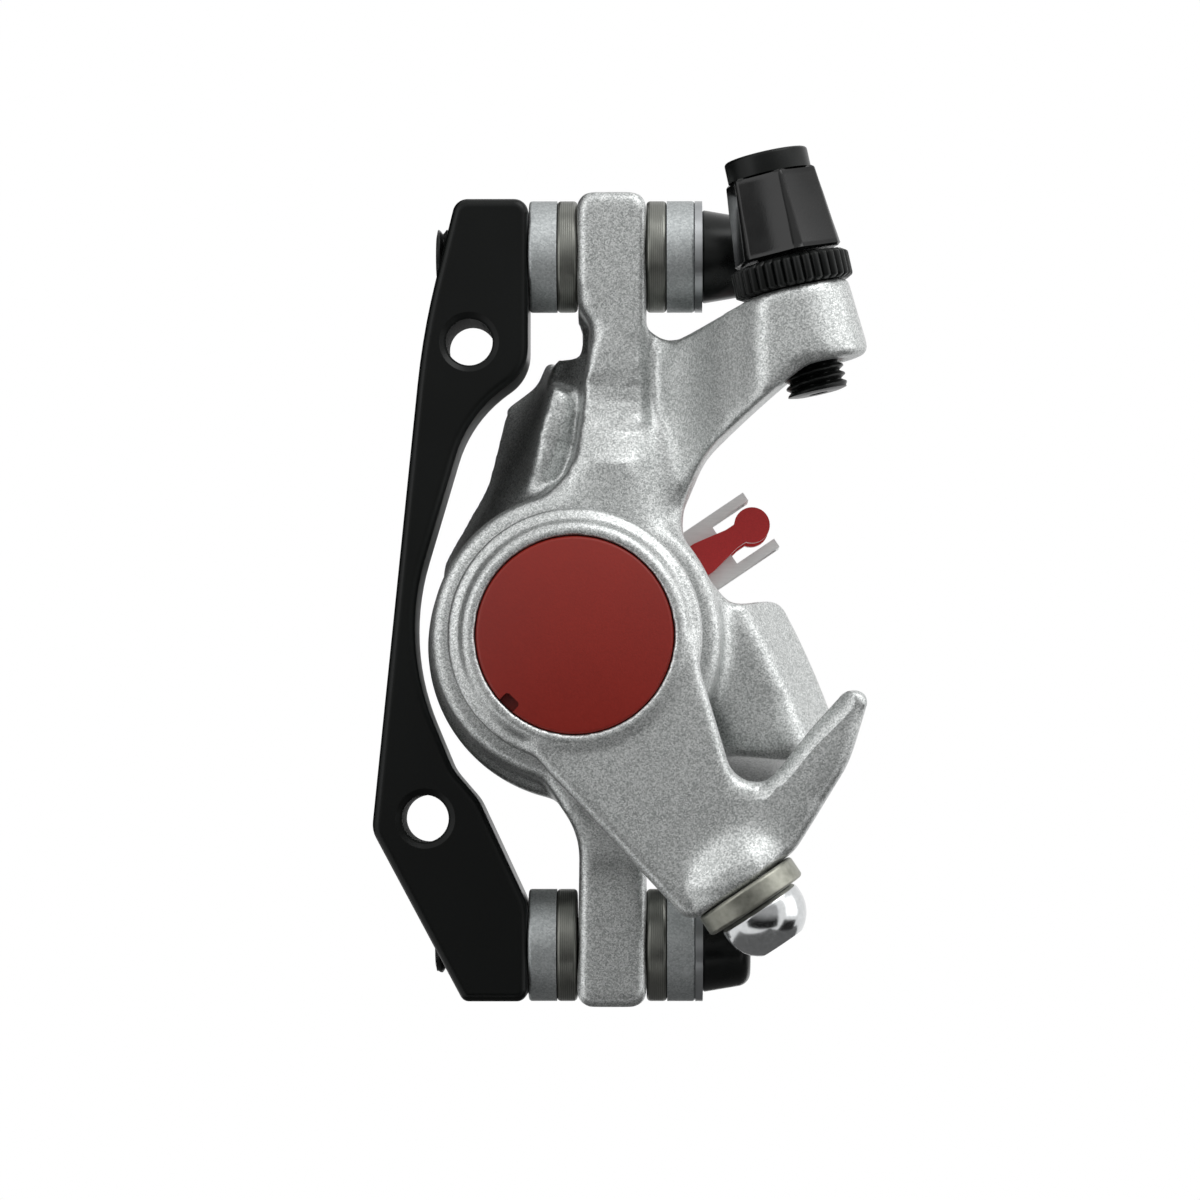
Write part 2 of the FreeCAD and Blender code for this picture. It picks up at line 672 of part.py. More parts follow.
def lever_arm():
    section = [
        (0, hub_back_y), (hub_r, hub_back_y), (hub_r, hub_front_y + bezel_rise, 0.4),
        (bezel_r + 0.3, hub_front_y + bezel_rise, 0.3), (bezel_r - 0.1, hub_front_y, 0.9), (0, hub_front_y),
    ]
    hub = turned(section, cam, V(0, 1, 0))
    corners = [
        (-5.4, -11.5, 1.5), (12.0, -30.1, 1.8), (22.7, -22.9, 1.1), (28.7, -13.4, 10.0), (31.1, -5.7, 1.3),
        (28.3, -5.7, 1.6), (17.73, -18.99, 3.2), (13.2, -3.9, 8.0), (12.6, 0.6, 1.5), (2.0, 2.0, 1.5),
    ]
    arm = soft_plate(from_cam(corners), arm_front_y, arm_back_y, lever_edge, [arm_front_y, arm_back_y])
    face = cam + pinch_dir * pinch_reach + V(0, arm_mid_y, 0)
    r = pinch_boss_r - crown_rise
    boss = [(0, -9.0), (r - 2.0, -9.0, 0.5), (r, -4.5, 6.0), (r, 0, 0.6), (0, 0)]
    r = crown_r
    crown = [(0, -10.0), (r - 2.5, -10.0, 0.5), (r, -3.5, 12.0), (r, -0.1, 0.6), (0, -0.1)]
    crown = turned(crown, face + V(0, crown_r - pinch_boss_r, 0), pinch_dir)
    crown = crown.common(plate(from_cam(corners), arm_front_y - 4, arm_mid_y))
    lever = fused([hub, arm, crown, turned(boss, face, pinch_dir)])
    cuts = [
        disc(cap_r + 0.1, hub_front_y - 1, web_front_y),
        disc(spring_recess_r, web_back_y, hub_back_y + 1),
        spindle_section(running_clearance, web_front_y - 1, web_back_y + 1),
        cylinder(pinch_bolt_r, face - pinch_dir * (pinch_depth + 0.6), pinch_dir, pinch_depth + 1.6),
    ]
    end_angle = spring_start + 360.0 * spring_turns
    cuts.append(spring_notch(end_angle, 1, web_back_y, hub_back_y + 1))
    return lever.cut(cuts[0].multiFuse(cuts[1:]))


def lever_cap():
    skin = cap_thickness
    front = hub_front_y + 0.15
    section = [
        (0, front), (cap_r, front, 0.3), (cap_r, web_front_y), (cap_r - 1.3, web_front_y),
        (cap_r - 1.3, front + skin), (0, front + skin),
    ]
    cap = turned(section, cam, V(0, 1, 0))
    low = cap_r - 1.2
    high = cap_r + 1.0
    corners = [(low, -0.95, 0.4), (high, -0.95, 0), (high, 0.95, 0), (low, 0.95, 0.4)]
    notch = plate(corners, front - 1, front + 2)
    notch.rotate(V(0, 0, 0), V(0, -1, 0), cap_notch_angle)
    notch.translate(cam)
    return cap.cut(notch)


def lever_screw():
    washer_y = web_front_y - lever_washer_thickness
    washer = ring(lever_bolt_r + 0.3, lever_bolt_r + 3.2, washer_y, web_front_y)
    shank = disc(lever_bolt_r - thread_clearance, washer_y, front_wall_y - 1.0)
    head = disc(lever_bolt_r + 2.2, washer_y - lever_head_length + 0.4, washer_y)
    head = head.makeFillet(0.5, rim_edges(head, [washer_y - lever_head_length + 0.4]))
    bolt = fused([shank, head])
    socket = hexagon(4.0, cam + V(0, washer_y - lever_head_length - 1, 0), V(0, 1, 0), 2.3)
    return bolt.cut(socket), washer


def pinch_clamp():
    face = cam + pinch_dir * pinch_reach + V(0, arm_mid_y, 0)
    thick = pinch_washer_thickness
    bore = pinch_bolt_r + 0.1
    rim = [(bore, 0), (pinch_washer_r, 0, 0.4), (pinch_washer_r, thick, 0.4), (bore, thick)]
    washer = turned(rim, face, pinch_dir)
    top = thick + pinch_head_length
    r = pinch_head_r
    shank = pinch_bolt_r - thread_clearance
    tip = -pinch_depth
    head = [(0, tip), (shank, tip, 0.5), (shank, thick), (r, thick, 0.7), (r, top, 3.2), (0, top)]
    bolt = turned(head, face, pinch_dir)
    return bolt.cut(hexagon(4.0, face + pinch_dir * top, pinch_dir * -1, 3.0)), washer


def drive_cam():
    spindle = disc(spindle_r, web_back_y, flange_y0 + 1)
    tip = spindle_section(0, web_front_y + 0.1, web_back_y + 0.5)
    flange = disc(flange_r, flange_y0, flange_y1)
    blank = fused([spindle, tip, flange])
    race = Part.makeTorus(ball_circle_r, ball_r + race_clearance, V(cam_x, ball_y, cam_z), V(0, 1, 0))
    return blank.cut(race).cut(disc(lever_bolt_r, web_front_y - 1, front_wall_y))


def bearing_balls():
    balls = []
    for angle in around(ball_count, 90.0):
        centre = V(cam_x + ball_circle_r * cos(angle), ball_y, cam_z + ball_circle_r * sin(angle))
        balls.append(Part.makeSphere(ball_r, centre))
    return Part.Compound(balls)


def ball_cage():
    cage = ring(ball_circle_r - ball_r - 0.4, ball_circle_r + ball_r + 0.4, cage_y0, cage_y1)
    for angle in around(ball_count, 90.0):
        centre = V(cam_x + ball_circle_r * cos(angle), 0, cam_z + ball_circle_r * sin(angle))
        cage = cage.cut(disc(ball_r + race_clearance, cage_y0 - 1, cage_y1 + 1, centre))
    return cage


def pressure_cam():
    blank = disc(mechanism_bore_r - 0.3, cam_y0, cam_y1)
    key = key_slot_width / 2 - 0.3
    tall = key_slot_r - 0.35
    lugs = [(-key, -tall, 0.6), (key, -tall, 0.6), (key, tall, 0.6), (-key, tall, 0.6)]
    bar = plate(from_tab(lugs), cam_y0 + 0.5, cam_y1)
    foot = disc(foot_r, cam_y1 - 0.5, plate_out_y0 - 0.02)
    body = fused([blank, bar, foot])
    groove = ball_r + race_clearance
    for angle in around(ball_count, 90.0):
        far = angle + radians(lever_swing / 2)
        start = V(cam_x + ball_circle_r * cos(angle), ball_y, cam_z + ball_circle_r * sin(angle))
        end = V(cam_x + ball_circle_r * cos(far), ball_y - pad_travel, cam_z + ball_circle_r * sin(far))
        run = end - start
        ramp = cylinder(groove, start, run, run.Length)
        ramp = ramp.multiFuse([Part.makeSphere(groove, start), Part.makeSphere(groove, end)])
        body = body.cut(ramp)
    return body


def inboard_plug():
    blank = disc(plug_r, plug_y0, plug_y1)
    blank = blank.cut(disc(screw_r + thread_clearance, plug_y0 - 1, plug_y1 + 1))
    blank = blank.cut(disc(knob_neck_r + running_clearance, plug_y1 - 2.8, plug_y1 + 1))
    for angle in around(3, 30.0):
        centre = cam + V(cos(angle), 0, sin(angle)) * 9.2
        blank = blank.cut(disc(1.1, plug_y1 - 2.0, plug_y1 + 1, centre))
    return blank


def adjuster_screw():
    face = plate_in_y1 + 0.02
    foot = disc(screw_foot_r, face, face + screw_foot_thickness)
    thread = disc(screw_r, face + 1, plug_y1 - 3.1)
    tail = hexagon(tail_hex, cam + V(0, plug_y1 - 4, 0), V(0, 1, 0), 6.2)
    return fused([foot, thread, tail])


def adjuster_knob():
    base = plug_y1 + 0.3
    top = base + knob_thickness
    section = [(0, base), (knob_r, base, 0.3), (knob_r, top, 1.0), (0, top)]
    knob = turned(section, cam, V(0, 1, 0)).fuse(disc(knob_neck_r, plug_y1 - 2.6, base + 0.5))
    for angle in around(knob_scallops):
        centre = cam + V(cos(angle), 0, sin(angle)) * (knob_r + 1.6)
        knob = knob.cut(disc(2.4, base - 1, top + 1, centre))
    knob = knob.cut(hexagon(tail_hex + 0.4, cam + V(0, plug_y1 - 4, 0), V(0, 1, 0), 6.6))
    return knob.cut(hexagon(4.0, cam + V(0, top - 1.4, 0), V(0, 1, 0), 3)).removeSplitter()


def barrel_stem():
    ring_top = lock_ring_height
    grip_low = ring_top + grip_gap
    grip_high = grip_low + grip_height
    top = grip_high + collar_height
    section = [
        (0, -stem_below), (stem_r, -stem_below, 0.4), (stem_r, grip_low), (core_r, grip_low),
        (core_r, grip_high), (collar_r, grip_high), (collar_r, top, 0.3), (0, top),
    ]
    stem = turned(section, barrel_base, barrel_dir)
    socket = barrel_base + barrel_dir * (top - housing_socket_depth)
    stem = stem.cut(cylinder(housing_socket_r, socket, barrel_dir, housing_socket_depth + 1))
    drill = barrel_base - barrel_dir * (stem_below + 1)
    return stem.cut(cylinder(cable_hole_r, drill, barrel_dir, 30))


# Points on a circle round the barrel axis
def barrel_point(r, angle, height):
    side = V(0, 1, 0)
    other = barrel_dir.cross(side)
    return barrel_base + barrel_dir * height + side * (r * cos(angle)) + other * (r * sin(angle))


# Distance from the barrel axis to the axis of a flute that leaves this chord on the grip
def flute_axis(r, chord):
    return sqrt(r ** 2 - chord ** 2 / 4) + sqrt(flute_r ** 2 - chord ** 2 / 4)


def barrel_grip():
    low = lock_ring_height + grip_gap
    high = low + grip_height
    bore = core_r + running_clearance
    section = [(bore, low), (grip_bottom_r, low, 0.3), (grip_top_r, high, 0.3), (bore, high)]
    grip = turned(section, barrel_base, barrel_dir)
    flutes = []
    for angle in around(grip_flutes, flute_start):
        foot = barrel_point(flute_axis(grip_bottom_r, flute_bottom_chord), angle, low)
        head = barrel_point(flute_axis(grip_top_r, flute_top_chord), angle, high)
        run = head - foot
        flutes.append(cylinder(flute_r, foot - run, run, run.Length * 3))
    return grip.cut(flutes)


def lock_ring():
    low = lock_ring_seat_gap
    high = lock_ring_height
    bore = stem_r + running_clearance
    section = [(bore, low), (lock_ring_r, low, 0.35), (lock_ring_r, high, 0.35), (bore, high)]
    return turned(section, barrel_base, barrel_dir)


os.makedirs("parts", exist_ok=True)
cups, balls, flats, bolts = post_stack()
screw, screw_washer = lever_screw()
clamp_bolt, clamp_washer = pinch_clamp()
pieces = {
    "caliper_body": caliper_body(),
    "mounting_bracket": mounting_bracket(),
    "mount_bolts": bolts,
    "head_washers": flats,
    "cup_washers": cups,
    "ball_washers": balls,
    "lever_arm": lever_arm(),
    "lever_cap": lever_cap(),
    "lever_bolt": screw,
    "lever_washer": screw_washer,
    "pinch_bolt": clamp_bolt,
    "pinch_washer": clamp_washer,
    "return_spring": return_spring(),
    "spindle_seal": spindle_seal(),
    "thrust_washer": ring(spindle_r + 0.3, flange_r - 0.2, front_wall_y, thrust_y1),
    "drive_cam": drive_cam(),
    "bearing_balls": bearing_balls(),
    "ball_cage": ball_cage(),
    "pressure_cam": pressure_cam(),
    "outboard_plate": pad_plate(plate_out_y0, plate_out_y1),
    "outboard_lining": plate(from_tab(lining_outline(0)), plate_out_y1, lining_out_y),
    "inboard_plate": pad_plate(plate_in_y0, plate_in_y1),
    "inboard_lining": plate(from_tab(lining_outline(0)), lining_in_y, plate_in_y0),
    "pad_spring": pad_spring(),
    "inboard_plug": inboard_plug(),
    "adjuster_screw": adjuster_screw(),
    "adjuster_knob": adjuster_knob(),
    "barrel_stem": barrel_stem(),
    "barrel_grip": barrel_grip(),
    "lock_ring": lock_ring(),
}
for name, shape in pieces.items():
    print(name, len(shape.Solids), shape.isValid(), round(shape.Volume, 1))
    export(shape, name)
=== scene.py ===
import json
from math import cos, pi, radians, sin

import bmesh
import bpy
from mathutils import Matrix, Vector


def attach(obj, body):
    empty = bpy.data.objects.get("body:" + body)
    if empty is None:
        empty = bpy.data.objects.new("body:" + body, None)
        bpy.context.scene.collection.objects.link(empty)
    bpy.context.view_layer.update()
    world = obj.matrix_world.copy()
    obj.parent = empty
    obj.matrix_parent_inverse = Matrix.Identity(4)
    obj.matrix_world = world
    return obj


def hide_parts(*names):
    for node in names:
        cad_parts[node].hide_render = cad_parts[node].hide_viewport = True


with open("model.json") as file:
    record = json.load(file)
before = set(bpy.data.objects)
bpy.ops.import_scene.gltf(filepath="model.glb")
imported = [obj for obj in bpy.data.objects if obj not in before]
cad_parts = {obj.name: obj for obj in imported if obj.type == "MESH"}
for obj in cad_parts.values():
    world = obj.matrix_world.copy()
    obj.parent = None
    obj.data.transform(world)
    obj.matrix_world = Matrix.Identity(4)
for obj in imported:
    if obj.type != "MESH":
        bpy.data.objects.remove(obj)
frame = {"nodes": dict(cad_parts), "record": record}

mm = 0.001  # the CAD is written in millimetres, Blender works in metres
nodes = frame["nodes"]
scene = bpy.context.scene
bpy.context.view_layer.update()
print("frame loaded:", len(nodes), "nodes")


def linearColour(hexValue):
    channels = [int(hexValue[i:i + 2], 16) / 255 for i in (1, 3, 5)]
    return [c / 12.92 if c <= 0.04045 else ((c + 0.055) / 1.055) ** 2.4 for c in channels] + [1.0]


def addNode(tree, kind, settings, links={}):
    node = tree.nodes.new("ShaderNode" + kind)
    for key, value in settings.items():
        if isinstance(key, int) or key in node.inputs:
            node.inputs[key].default_value = value
        else:
            setattr(node, key, value)
    for key, source in links.items():
        tree.links.new(source, node.inputs[key])
    return node


def newMaterial(name):
    material = bpy.data.materials.new(name)
    material.use_nodes = True
    tree = material.node_tree
    tree.nodes.clear()
    at = {"Vector": addNode(tree, "TexCoord", {}).outputs["Object"]}
    return material, tree, at


# Texture scale that gives a pattern its real size
def scaleOf(sizeMm):
    return 1 / (sizeMm * mm)


def twoTones(tree, look, share):
    tones = {6: linearColour(look["dark"]), 7: linearColour(look["light"])}
    return addNode(tree, "Mix", {"data_type": "RGBA", **tones}, {0: share}).outputs[2]


# Ends a material: one pattern leads its two tones, one its sheen and one its relief
def closeMaterial(tree, look, tone, wear, relief):
    rough = addNode(tree, "Math", {"operation": "MULTIPLY_ADD", 1: look["roughSpread"],
                                   2: look["roughness"]}, {0: wear})
    bump = addNode(tree, "Bump", {"Strength": look["bumpStrength"],
                                  "Distance": look["bumpMm"] * mm}, {"Height": relief})
    surface = addNode(tree, "BsdfPrincipled", look["surface"],
                      {"Base Color": twoTones(tree, look, tone), "Roughness": rough.outputs[0],
                       "Normal": bump.outputs[0]})
    addNode(tree, "OutputMaterial", {}, {"Surface": surface.outputs[0]})


# Silver metallic lacquer on die-cast aluminium: aluminium flakes in the spray give a fine
# sparkling grain. Real flakes are near 0.03 mm, and are drawn coarser, as clumps that show
silverLook = {"dark": "#909493", "light": "#EBEDEC", "flakeMm": 0.13, "flakeShare": 0.86,
              "driftMm": 9.0, "driftShare": 0.14, "rippleMm": 0.3, "flakeRelief": 0.5,
              "roughness": 0.36, "roughSpread": 0.14, "bumpStrength": 0.25, "bumpMm": 0.014,
              "surface": {"Metallic": 0.85, "Coat Weight": 0.15, "Coat Roughness": 0.3}}


def silverLacquer():
    look = silverLook
    material, tree, at = newMaterial("silver_metallic_lacquer")
    flake = addNode(tree, "TexVoronoi", {"Scale": scaleOf(look["flakeMm"])}, at)
    ripple = addNode(tree, "TexNoise", {"Scale": scaleOf(look["rippleMm"]), "Detail": 3.0}, at)
    drift = addNode(tree, "TexNoise", {"Scale": scaleOf(look["driftMm"]), "Detail": 2.0}, at)
    shine = addNode(tree, "SeparateColor", {}, {"Color": flake.outputs["Color"]})
    grain = addNode(tree, "Math", {"operation": "MULTIPLY", 1: look["flakeShare"]},
                    {0: shine.outputs[0]})
    tone = addNode(tree, "Math", {"operation": "MULTIPLY_ADD", 1: look["driftShare"]},
                   {0: drift.outputs[0], 2: grain.outputs[0]})
    relief = addNode(tree, "Math", {"operation": "MULTIPLY_ADD", 1: look["flakeRelief"]},
                     {0: shine.outputs[2], 2: ripple.outputs[0]})
    closeMaterial(tree, look, tone.outputs[0], shine.outputs[1], relief.outputs[0])
    return material


# Black anodised aluminium: a dyed oxide skin over a fine blasted surface, satin and almost
# without glare, and duller inside the bracket's two tapped holes
anodisedLook = {"dark": "#0B0D0C", "light": "#161918", "grainMm": 0.25, "driftMm": 12.0,
                "roughness": 0.26, "roughSpread": 0.16, "bumpStrength": 0.3, "bumpMm": 0.012,
                "holeX": 2.31, "holeZ": 25.4, "holeR": 2.7, "holeRough": 0.4,
                "surface": {"Metallic": 0.3, "IOR": 1.6, "Specular IOR Level": 0.2}}


def blackAnodised():
    look = anodisedLook
    material, tree, at = newMaterial("black_anodised_aluminium")
    grain = addNode(tree, "TexNoise", {"Scale": scaleOf(look["grainMm"]), "Detail": 2.0}, at)
    drift = addNode(tree, "TexNoise", {"Scale": scaleOf(look["driftMm"]), "Detail": 3.0}, at)
    tone = addNode(tree, "Math", {"operation": "MULTIPLY"},
                   {0: grain.outputs[0], 1: drift.outputs[0]})
    section = addNode(tree, "VectorMath", {"operation": "MULTIPLY", 1: (1.0, 0.0, 1.0)}, at)
    hole = (look["holeX"] * mm, 0.0, look["holeZ"] * mm)
    upper = addNode(tree, "VectorMath", {"operation": "DISTANCE", 1: hole},
                    {0: section.outputs[0]})
    lower = addNode(tree, "VectorMath", {"operation": "DISTANCE", 1: [-c for c in hole]},
                    {0: section.outputs[0]})
    near = addNode(tree, "Math", {"operation": "MINIMUM"},
                   {0: upper.outputs[1], 1: lower.outputs[1]})
    inside = addNode(tree, "Math", {"operation": "LESS_THAN", 1: look["holeR"] * mm},
                     {0: near.outputs[0]})
    holeShare = look["holeRough"] / look["roughSpread"]
    wear = addNode(tree, "Math", {"operation": "MULTIPLY_ADD", 1: holeShare},
                   {0: inside.outputs[0], 2: drift.outputs[0]})
    closeMaterial(tree, look, tone.outputs[0], wear.outputs[0], grain.outputs[0])
    return material


# Black oxide steel: a thin blackened skin, darker and glossier than anodising, rubbed
# brighter in patches
oxideLook = {"dark": "#0B0C0C", "light": "#262827", "patchMm": 1.6, "grainMm": 0.12,
             "roughness": 0.2, "roughSpread": 0.2, "bumpStrength": 0.2, "bumpMm": 0.01,
             "surface": {"Metallic": 0.6}}


def blackOxide():
    look = oxideLook
    material, tree, at = newMaterial("black_oxide_steel")
    patch = addNode(tree, "TexNoise", {"Scale": scaleOf(look["patchMm"]), "Detail": 4.0}, at)
    grain = addNode(tree, "TexNoise", {"Scale": scaleOf(look["grainMm"]), "Detail": 1.0}, at)
    closeMaterial(tree, look, patch.outputs[0], patch.outputs[0], grain.outputs[0])
    return material


# Grit-blasted and zinc-plated steel: an even frosted grey with a dry speckle
blastedLook = {"dark": "#A2A6A7", "light": "#C0C4C4", "gritMm": 0.17, "fineMm": 0.085,
               "roughness": 0.45, "roughSpread": 0.15, "bumpStrength": 0.5, "bumpMm": 0.03,
               "surface": {"Metallic": 0.9}}


def blastedSteel():
    look = blastedLook
    material, tree, at = newMaterial("blasted_steel")
    grit = addNode(tree, "TexVoronoi", {"Scale": scaleOf(look["gritMm"])}, at)
    fine = addNode(tree, "TexNoise", {"Scale": scaleOf(look["fineMm"]), "Detail": 3.0}, at)
    tone = addNode(tree, "SeparateColor", {}, {"Color": grit.outputs["Color"]})
    closeMaterial(tree, look, tone.outputs[0], fine.outputs[0], fine.outputs[0])
    return material


# Turned steel with a dark phosphate skin: tool rings 0.2 mm apart run round the rim
turnedLook = {"dark": "#4A4C48", "light": "#868781", "ringMm": 0.22, "ringShare": 0.5,
              "driftMm": 2.5, "roughness": 0.28, "roughSpread": 0.2, "bumpStrength": 0.4,
              "bumpMm": 0.02, "surface": {"Metallic": 0.9}}


def turnedSteel():
    look = turnedLook
    material, tree, at = newMaterial("turned_dark_steel")
    bands = pi / (10 * look["ringMm"] * mm)  # a wave texture repeats each pi / 10
    rings = addNode(tree, "TexWave", {"bands_direction": "X", "Scale": bands,
                                      "Distortion": 0.6, "Detail": 2.0}, at)
    drift = addNode(tree, "TexNoise", {"Scale": scaleOf(look["driftMm"]), "Detail": 3.0}, at)
    tone = addNode(tree, "Math", {"operation": "MULTIPLY_ADD", 1: look["ringShare"]},
                   {0: rings.outputs["Fac"], 2: drift.outputs[0]})
    closeMaterial(tree, look, tone.outputs[0], drift.outputs[0], rings.outputs["Fac"])
    return material


# Plain machined steel: bright grey with faint cutter marks and an oily drift of tone
machinedLook = {"dark": "#84878A", "light": "#C3C5C6", "markMm": 0.18, "driftMm": 3.0,
                "roughness": 0.26, "roughSpread": 0.18, "bumpStrength": 0.25, "bumpMm": 0.012,
                "surface": {"Metallic": 1.0}}


def machinedSteel():
    look = machinedLook
    material, tree, at = newMaterial("machined_steel")
    bands = pi / (10 * look["markMm"] * mm)
    marks = addNode(tree, "TexWave", {"bands_direction": "Y", "Scale": bands,
                                      "Distortion": 1.5, "Detail": 2.0}, at)
    drift = addNode(tree, "TexNoise", {"Scale": scaleOf(look["driftMm"]), "Detail": 4.0}, at)
    closeMaterial(tree, look, drift.outputs[0], drift.outputs[0], marks.outputs["Fac"])
    return material


# Red glass-filled nylon, injection moulded against a spark-eroded tool: matt, finely pitted,
# deep brick red; the shading of the cap falls off a little from the crown to the rim
nylonLook = {"dark": "#8A1A0D", "light": "#AA2616", "pitMm": 0.22, "pitShare": 0.5,
             "driftMm": 7.0, "driftShare": 0.5, "roughness": 0.38, "roughSpread": 0.16,
             "bumpStrength": 0.35, "bumpMm": 0.03, "crownAxis": (13.75, 0.0, -6.2),
             "crownR": 11.2, "crownMm": 3.0, "surface": {"IOR": 1.53}}


def redNylon():
    look = nylonLook
    material, tree, at = newMaterial("red_moulded_nylon")
    pits = addNode(tree, "TexNoise", {"Scale": scaleOf(look["pitMm"]), "Detail": 2.0}, at)
    drift = addNode(tree, "TexNoise", {"Scale": scaleOf(look["driftMm"]), "Detail": 2.0}, at)
    grain = addNode(tree, "Math", {"operation": "MULTIPLY", 1: look["pitShare"]},
                    {0: pits.outputs[0]})
    tone = addNode(tree, "Math", {"operation": "MULTIPLY_ADD", 1: look["driftShare"]},
                   {0: drift.outputs[0], 2: grain.outputs[0]})
    section = addNode(tree, "VectorMath", {"operation": "MULTIPLY", 1: (1.0, 0.0, 1.0)}, at)
    middle = [c * mm for c in look["crownAxis"]]
    reach = addNode(tree, "VectorMath", {"operation": "DISTANCE", 1: middle},
                    {0: section.outputs[0]})
    share = addNode(tree, "Math", {"operation": "DIVIDE", 1: look["crownR"] * mm},
                    {0: reach.outputs[1]})
    fall = addNode(tree, "Math", {"operation": "POWER", 1: 2.0}, {0: share.outputs[0]})
    drop = -look["crownMm"] / look["bumpMm"]
    relief = addNode(tree, "Math", {"operation": "MULTIPLY_ADD", 1: drop},
                     {0: fall.outputs[0], 2: pits.outputs[0]})
    closeMaterial(tree, look, tone.outputs[0], pits.outputs[0], relief.outputs[0])
    return material


# Black nylon, injection moulded: dark glossy skin with a light haze of wear
blackNylonLook = {"dark": "#060707", "light": "#121313", "pitMm": 0.18, "driftMm": 3.0,
                  "roughness": 0.05, "roughSpread": 0.2, "bumpStrength": 0.25, "bumpMm": 0.015,
                  "surface": {"IOR": 1.53, "Specular IOR Level": 0.33}}


def blackNylon():
    look = blackNylonLook
    material, tree, at = newMaterial("black_moulded_nylon")
    pits = addNode(tree, "TexNoise", {"Scale": scaleOf(look["pitMm"]), "Detail": 2.0}, at)
    drift = addNode(tree, "TexNoise", {"Scale": scaleOf(look["driftMm"]), "Detail": 4.0}, at)
    closeMaterial(tree, look, drift.outputs[0], drift.outputs[0], pits.outputs[0])
    return material


# Chromium plate over polished steel: a near mirror, with the faint ripple of the buffing
chromeLook = {"dark": "#BFC1C2", "light": "#DDDFE0", "rippleMm": 1.8, "hazeMm": 0.5,
              "roughness": 0.12, "roughSpread": 0.1, "bumpStrength": 0.15, "bumpMm": 0.05,
              "surface": {"Metallic": 1.0}}


def chromePlate():
    look = chromeLook
    material, tree, at = newMaterial("polished_chromium_plate")
    ripple = addNode(tree, "TexNoise", {"Scale": scaleOf(look["rippleMm"]), "Detail": 2.0}, at)
    haze = addNode(tree, "TexNoise", {"Scale": scaleOf(look["hazeMm"]), "Detail": 4.0}, at)
    closeMaterial(tree, look, haze.outputs[0], haze.outputs[0], ripple.outputs[0])
    return material


# Nickel plate over tumbled steel: a warm grey with a dull bloom
nickelLook = {"dark": "#74756C", "light": "#ADADA3", "bloomMm": 0.7, "gritMm": 0.2,
              "roughness": 0.3, "roughSpread": 0.2, "bumpStrength": 0.35, "bumpMm": 0.02,
              "surface": {"Metallic": 1.0}}


def nickelPlate():
    look = nickelLook
    material, tree, at = newMaterial("nickel_plated_steel")
    bloom = addNode(tree, "TexNoise", {"Scale": scaleOf(look["bloomMm"]), "Detail": 4.0}, at)
    grit = addNode(tree, "TexNoise", {"Scale": scaleOf(look["gritMm"]), "Detail": 2.0}, at)
    closeMaterial(tree, look, bloom.outputs[0], bloom.outputs[0], grit.outputs[0])
    return material


# Cold-rolled spring steel: bright, with long fine rolling streaks
springLook = {"dark": "#E2E4E3", "light": "#F8F9F8", "streakMm": 0.15, "stretch": 0.08,
              "roughness": 0.27, "roughSpread": 0.18, "bumpStrength": 0.2, "bumpMm": 0.01,
              "surface": {"Metallic": 0.3}}


def springSteel():
    look = springLook
    material, tree, at = newMaterial("bright_spring_steel")
    drawn = addNode(tree, "Mapping", {"Scale": (look["stretch"], 1.0, 1.0)}, at)
    streak = addNode(tree, "TexNoise", {"Scale": scaleOf(look["streakMm"]), "Detail": 3.0},
                     {"Vector": drawn.outputs[0]})
    closeMaterial(tree, look, streak.outputs[0], streak.outputs[0], streak.outputs[0])
    return material


# Red powder coat on steel plate: a glossy skin with the orange peel of baked powder
enamelLook = {"dark": "#A81C1E", "light": "#CC2C2C", "peelMm": 0.8, "speckMm": 0.15,
              "roughness": 0.25, "roughSpread": 0.12, "bumpStrength": 0.3, "bumpMm": 0.03,
              "surface": {"IOR": 1.5}}


def redEnamel():
    look = enamelLook
    material, tree, at = newMaterial("red_powder_coat")
    peel = addNode(tree, "TexNoise", {"Scale": scaleOf(look["peelMm"]), "Detail": 1.0}, at)
    speck = addNode(tree, "TexNoise", {"Scale": scaleOf(look["speckMm"]), "Detail": 2.0}, at)
    closeMaterial(tree, look, speck.outputs[0], peel.outputs[0], peel.outputs[0])
    return material


# Sintered friction lining: dark resin and grit, with rare flecks of brighter metal fibre
liningLook = {"dark": "#2E2A27", "light": "#8A7A68", "fleckMm": 0.45, "fleckRarity": 5.0,
              "gritMm": 0.2, "roughness": 0.85, "roughSpread": -0.35, "bumpStrength": 0.6,
              "bumpMm": 0.12, "surface": {"Metallic": 0.2}}


def frictionLining():
    look = liningLook
    material, tree, at = newMaterial("sintered_friction_lining")
    fleck = addNode(tree, "TexVoronoi", {"Scale": scaleOf(look["fleckMm"])}, at)
    grit = addNode(tree, "TexNoise", {"Scale": scaleOf(look["gritMm"]), "Detail": 4.0}, at)
    tone = addNode(tree, "SeparateColor", {}, {"Color": fleck.outputs["Color"]})
    rare = addNode(tree, "Math", {"operation": "POWER", 1: look["fleckRarity"]},
                   {0: tone.outputs[0]})
    closeMaterial(tree, look, rare.outputs[0], rare.outputs[0], grit.outputs[0])
    return material


# Nitrile rubber, moulded: soft black with a dusty bloom
rubberLook = {"dark": "#121212", "light": "#2A2A2A", "bloomMm": 0.6, "roughness": 0.65,
              "roughSpread": 0.2, "bumpStrength": 0.2, "bumpMm": 0.03, "surface": {"IOR": 1.52}}


def nitrileRubber():
    look = rubberLook
    material, tree, at = newMaterial("nitrile_rubber")
    bloom = addNode(tree, "TexNoise", {"Scale": scaleOf(look["bloomMm"]), "Detail": 4.0}, at)
    closeMaterial(tree, look, bloom.outputs[0], bloom.outputs[0], bloom.outputs[0])
    return material


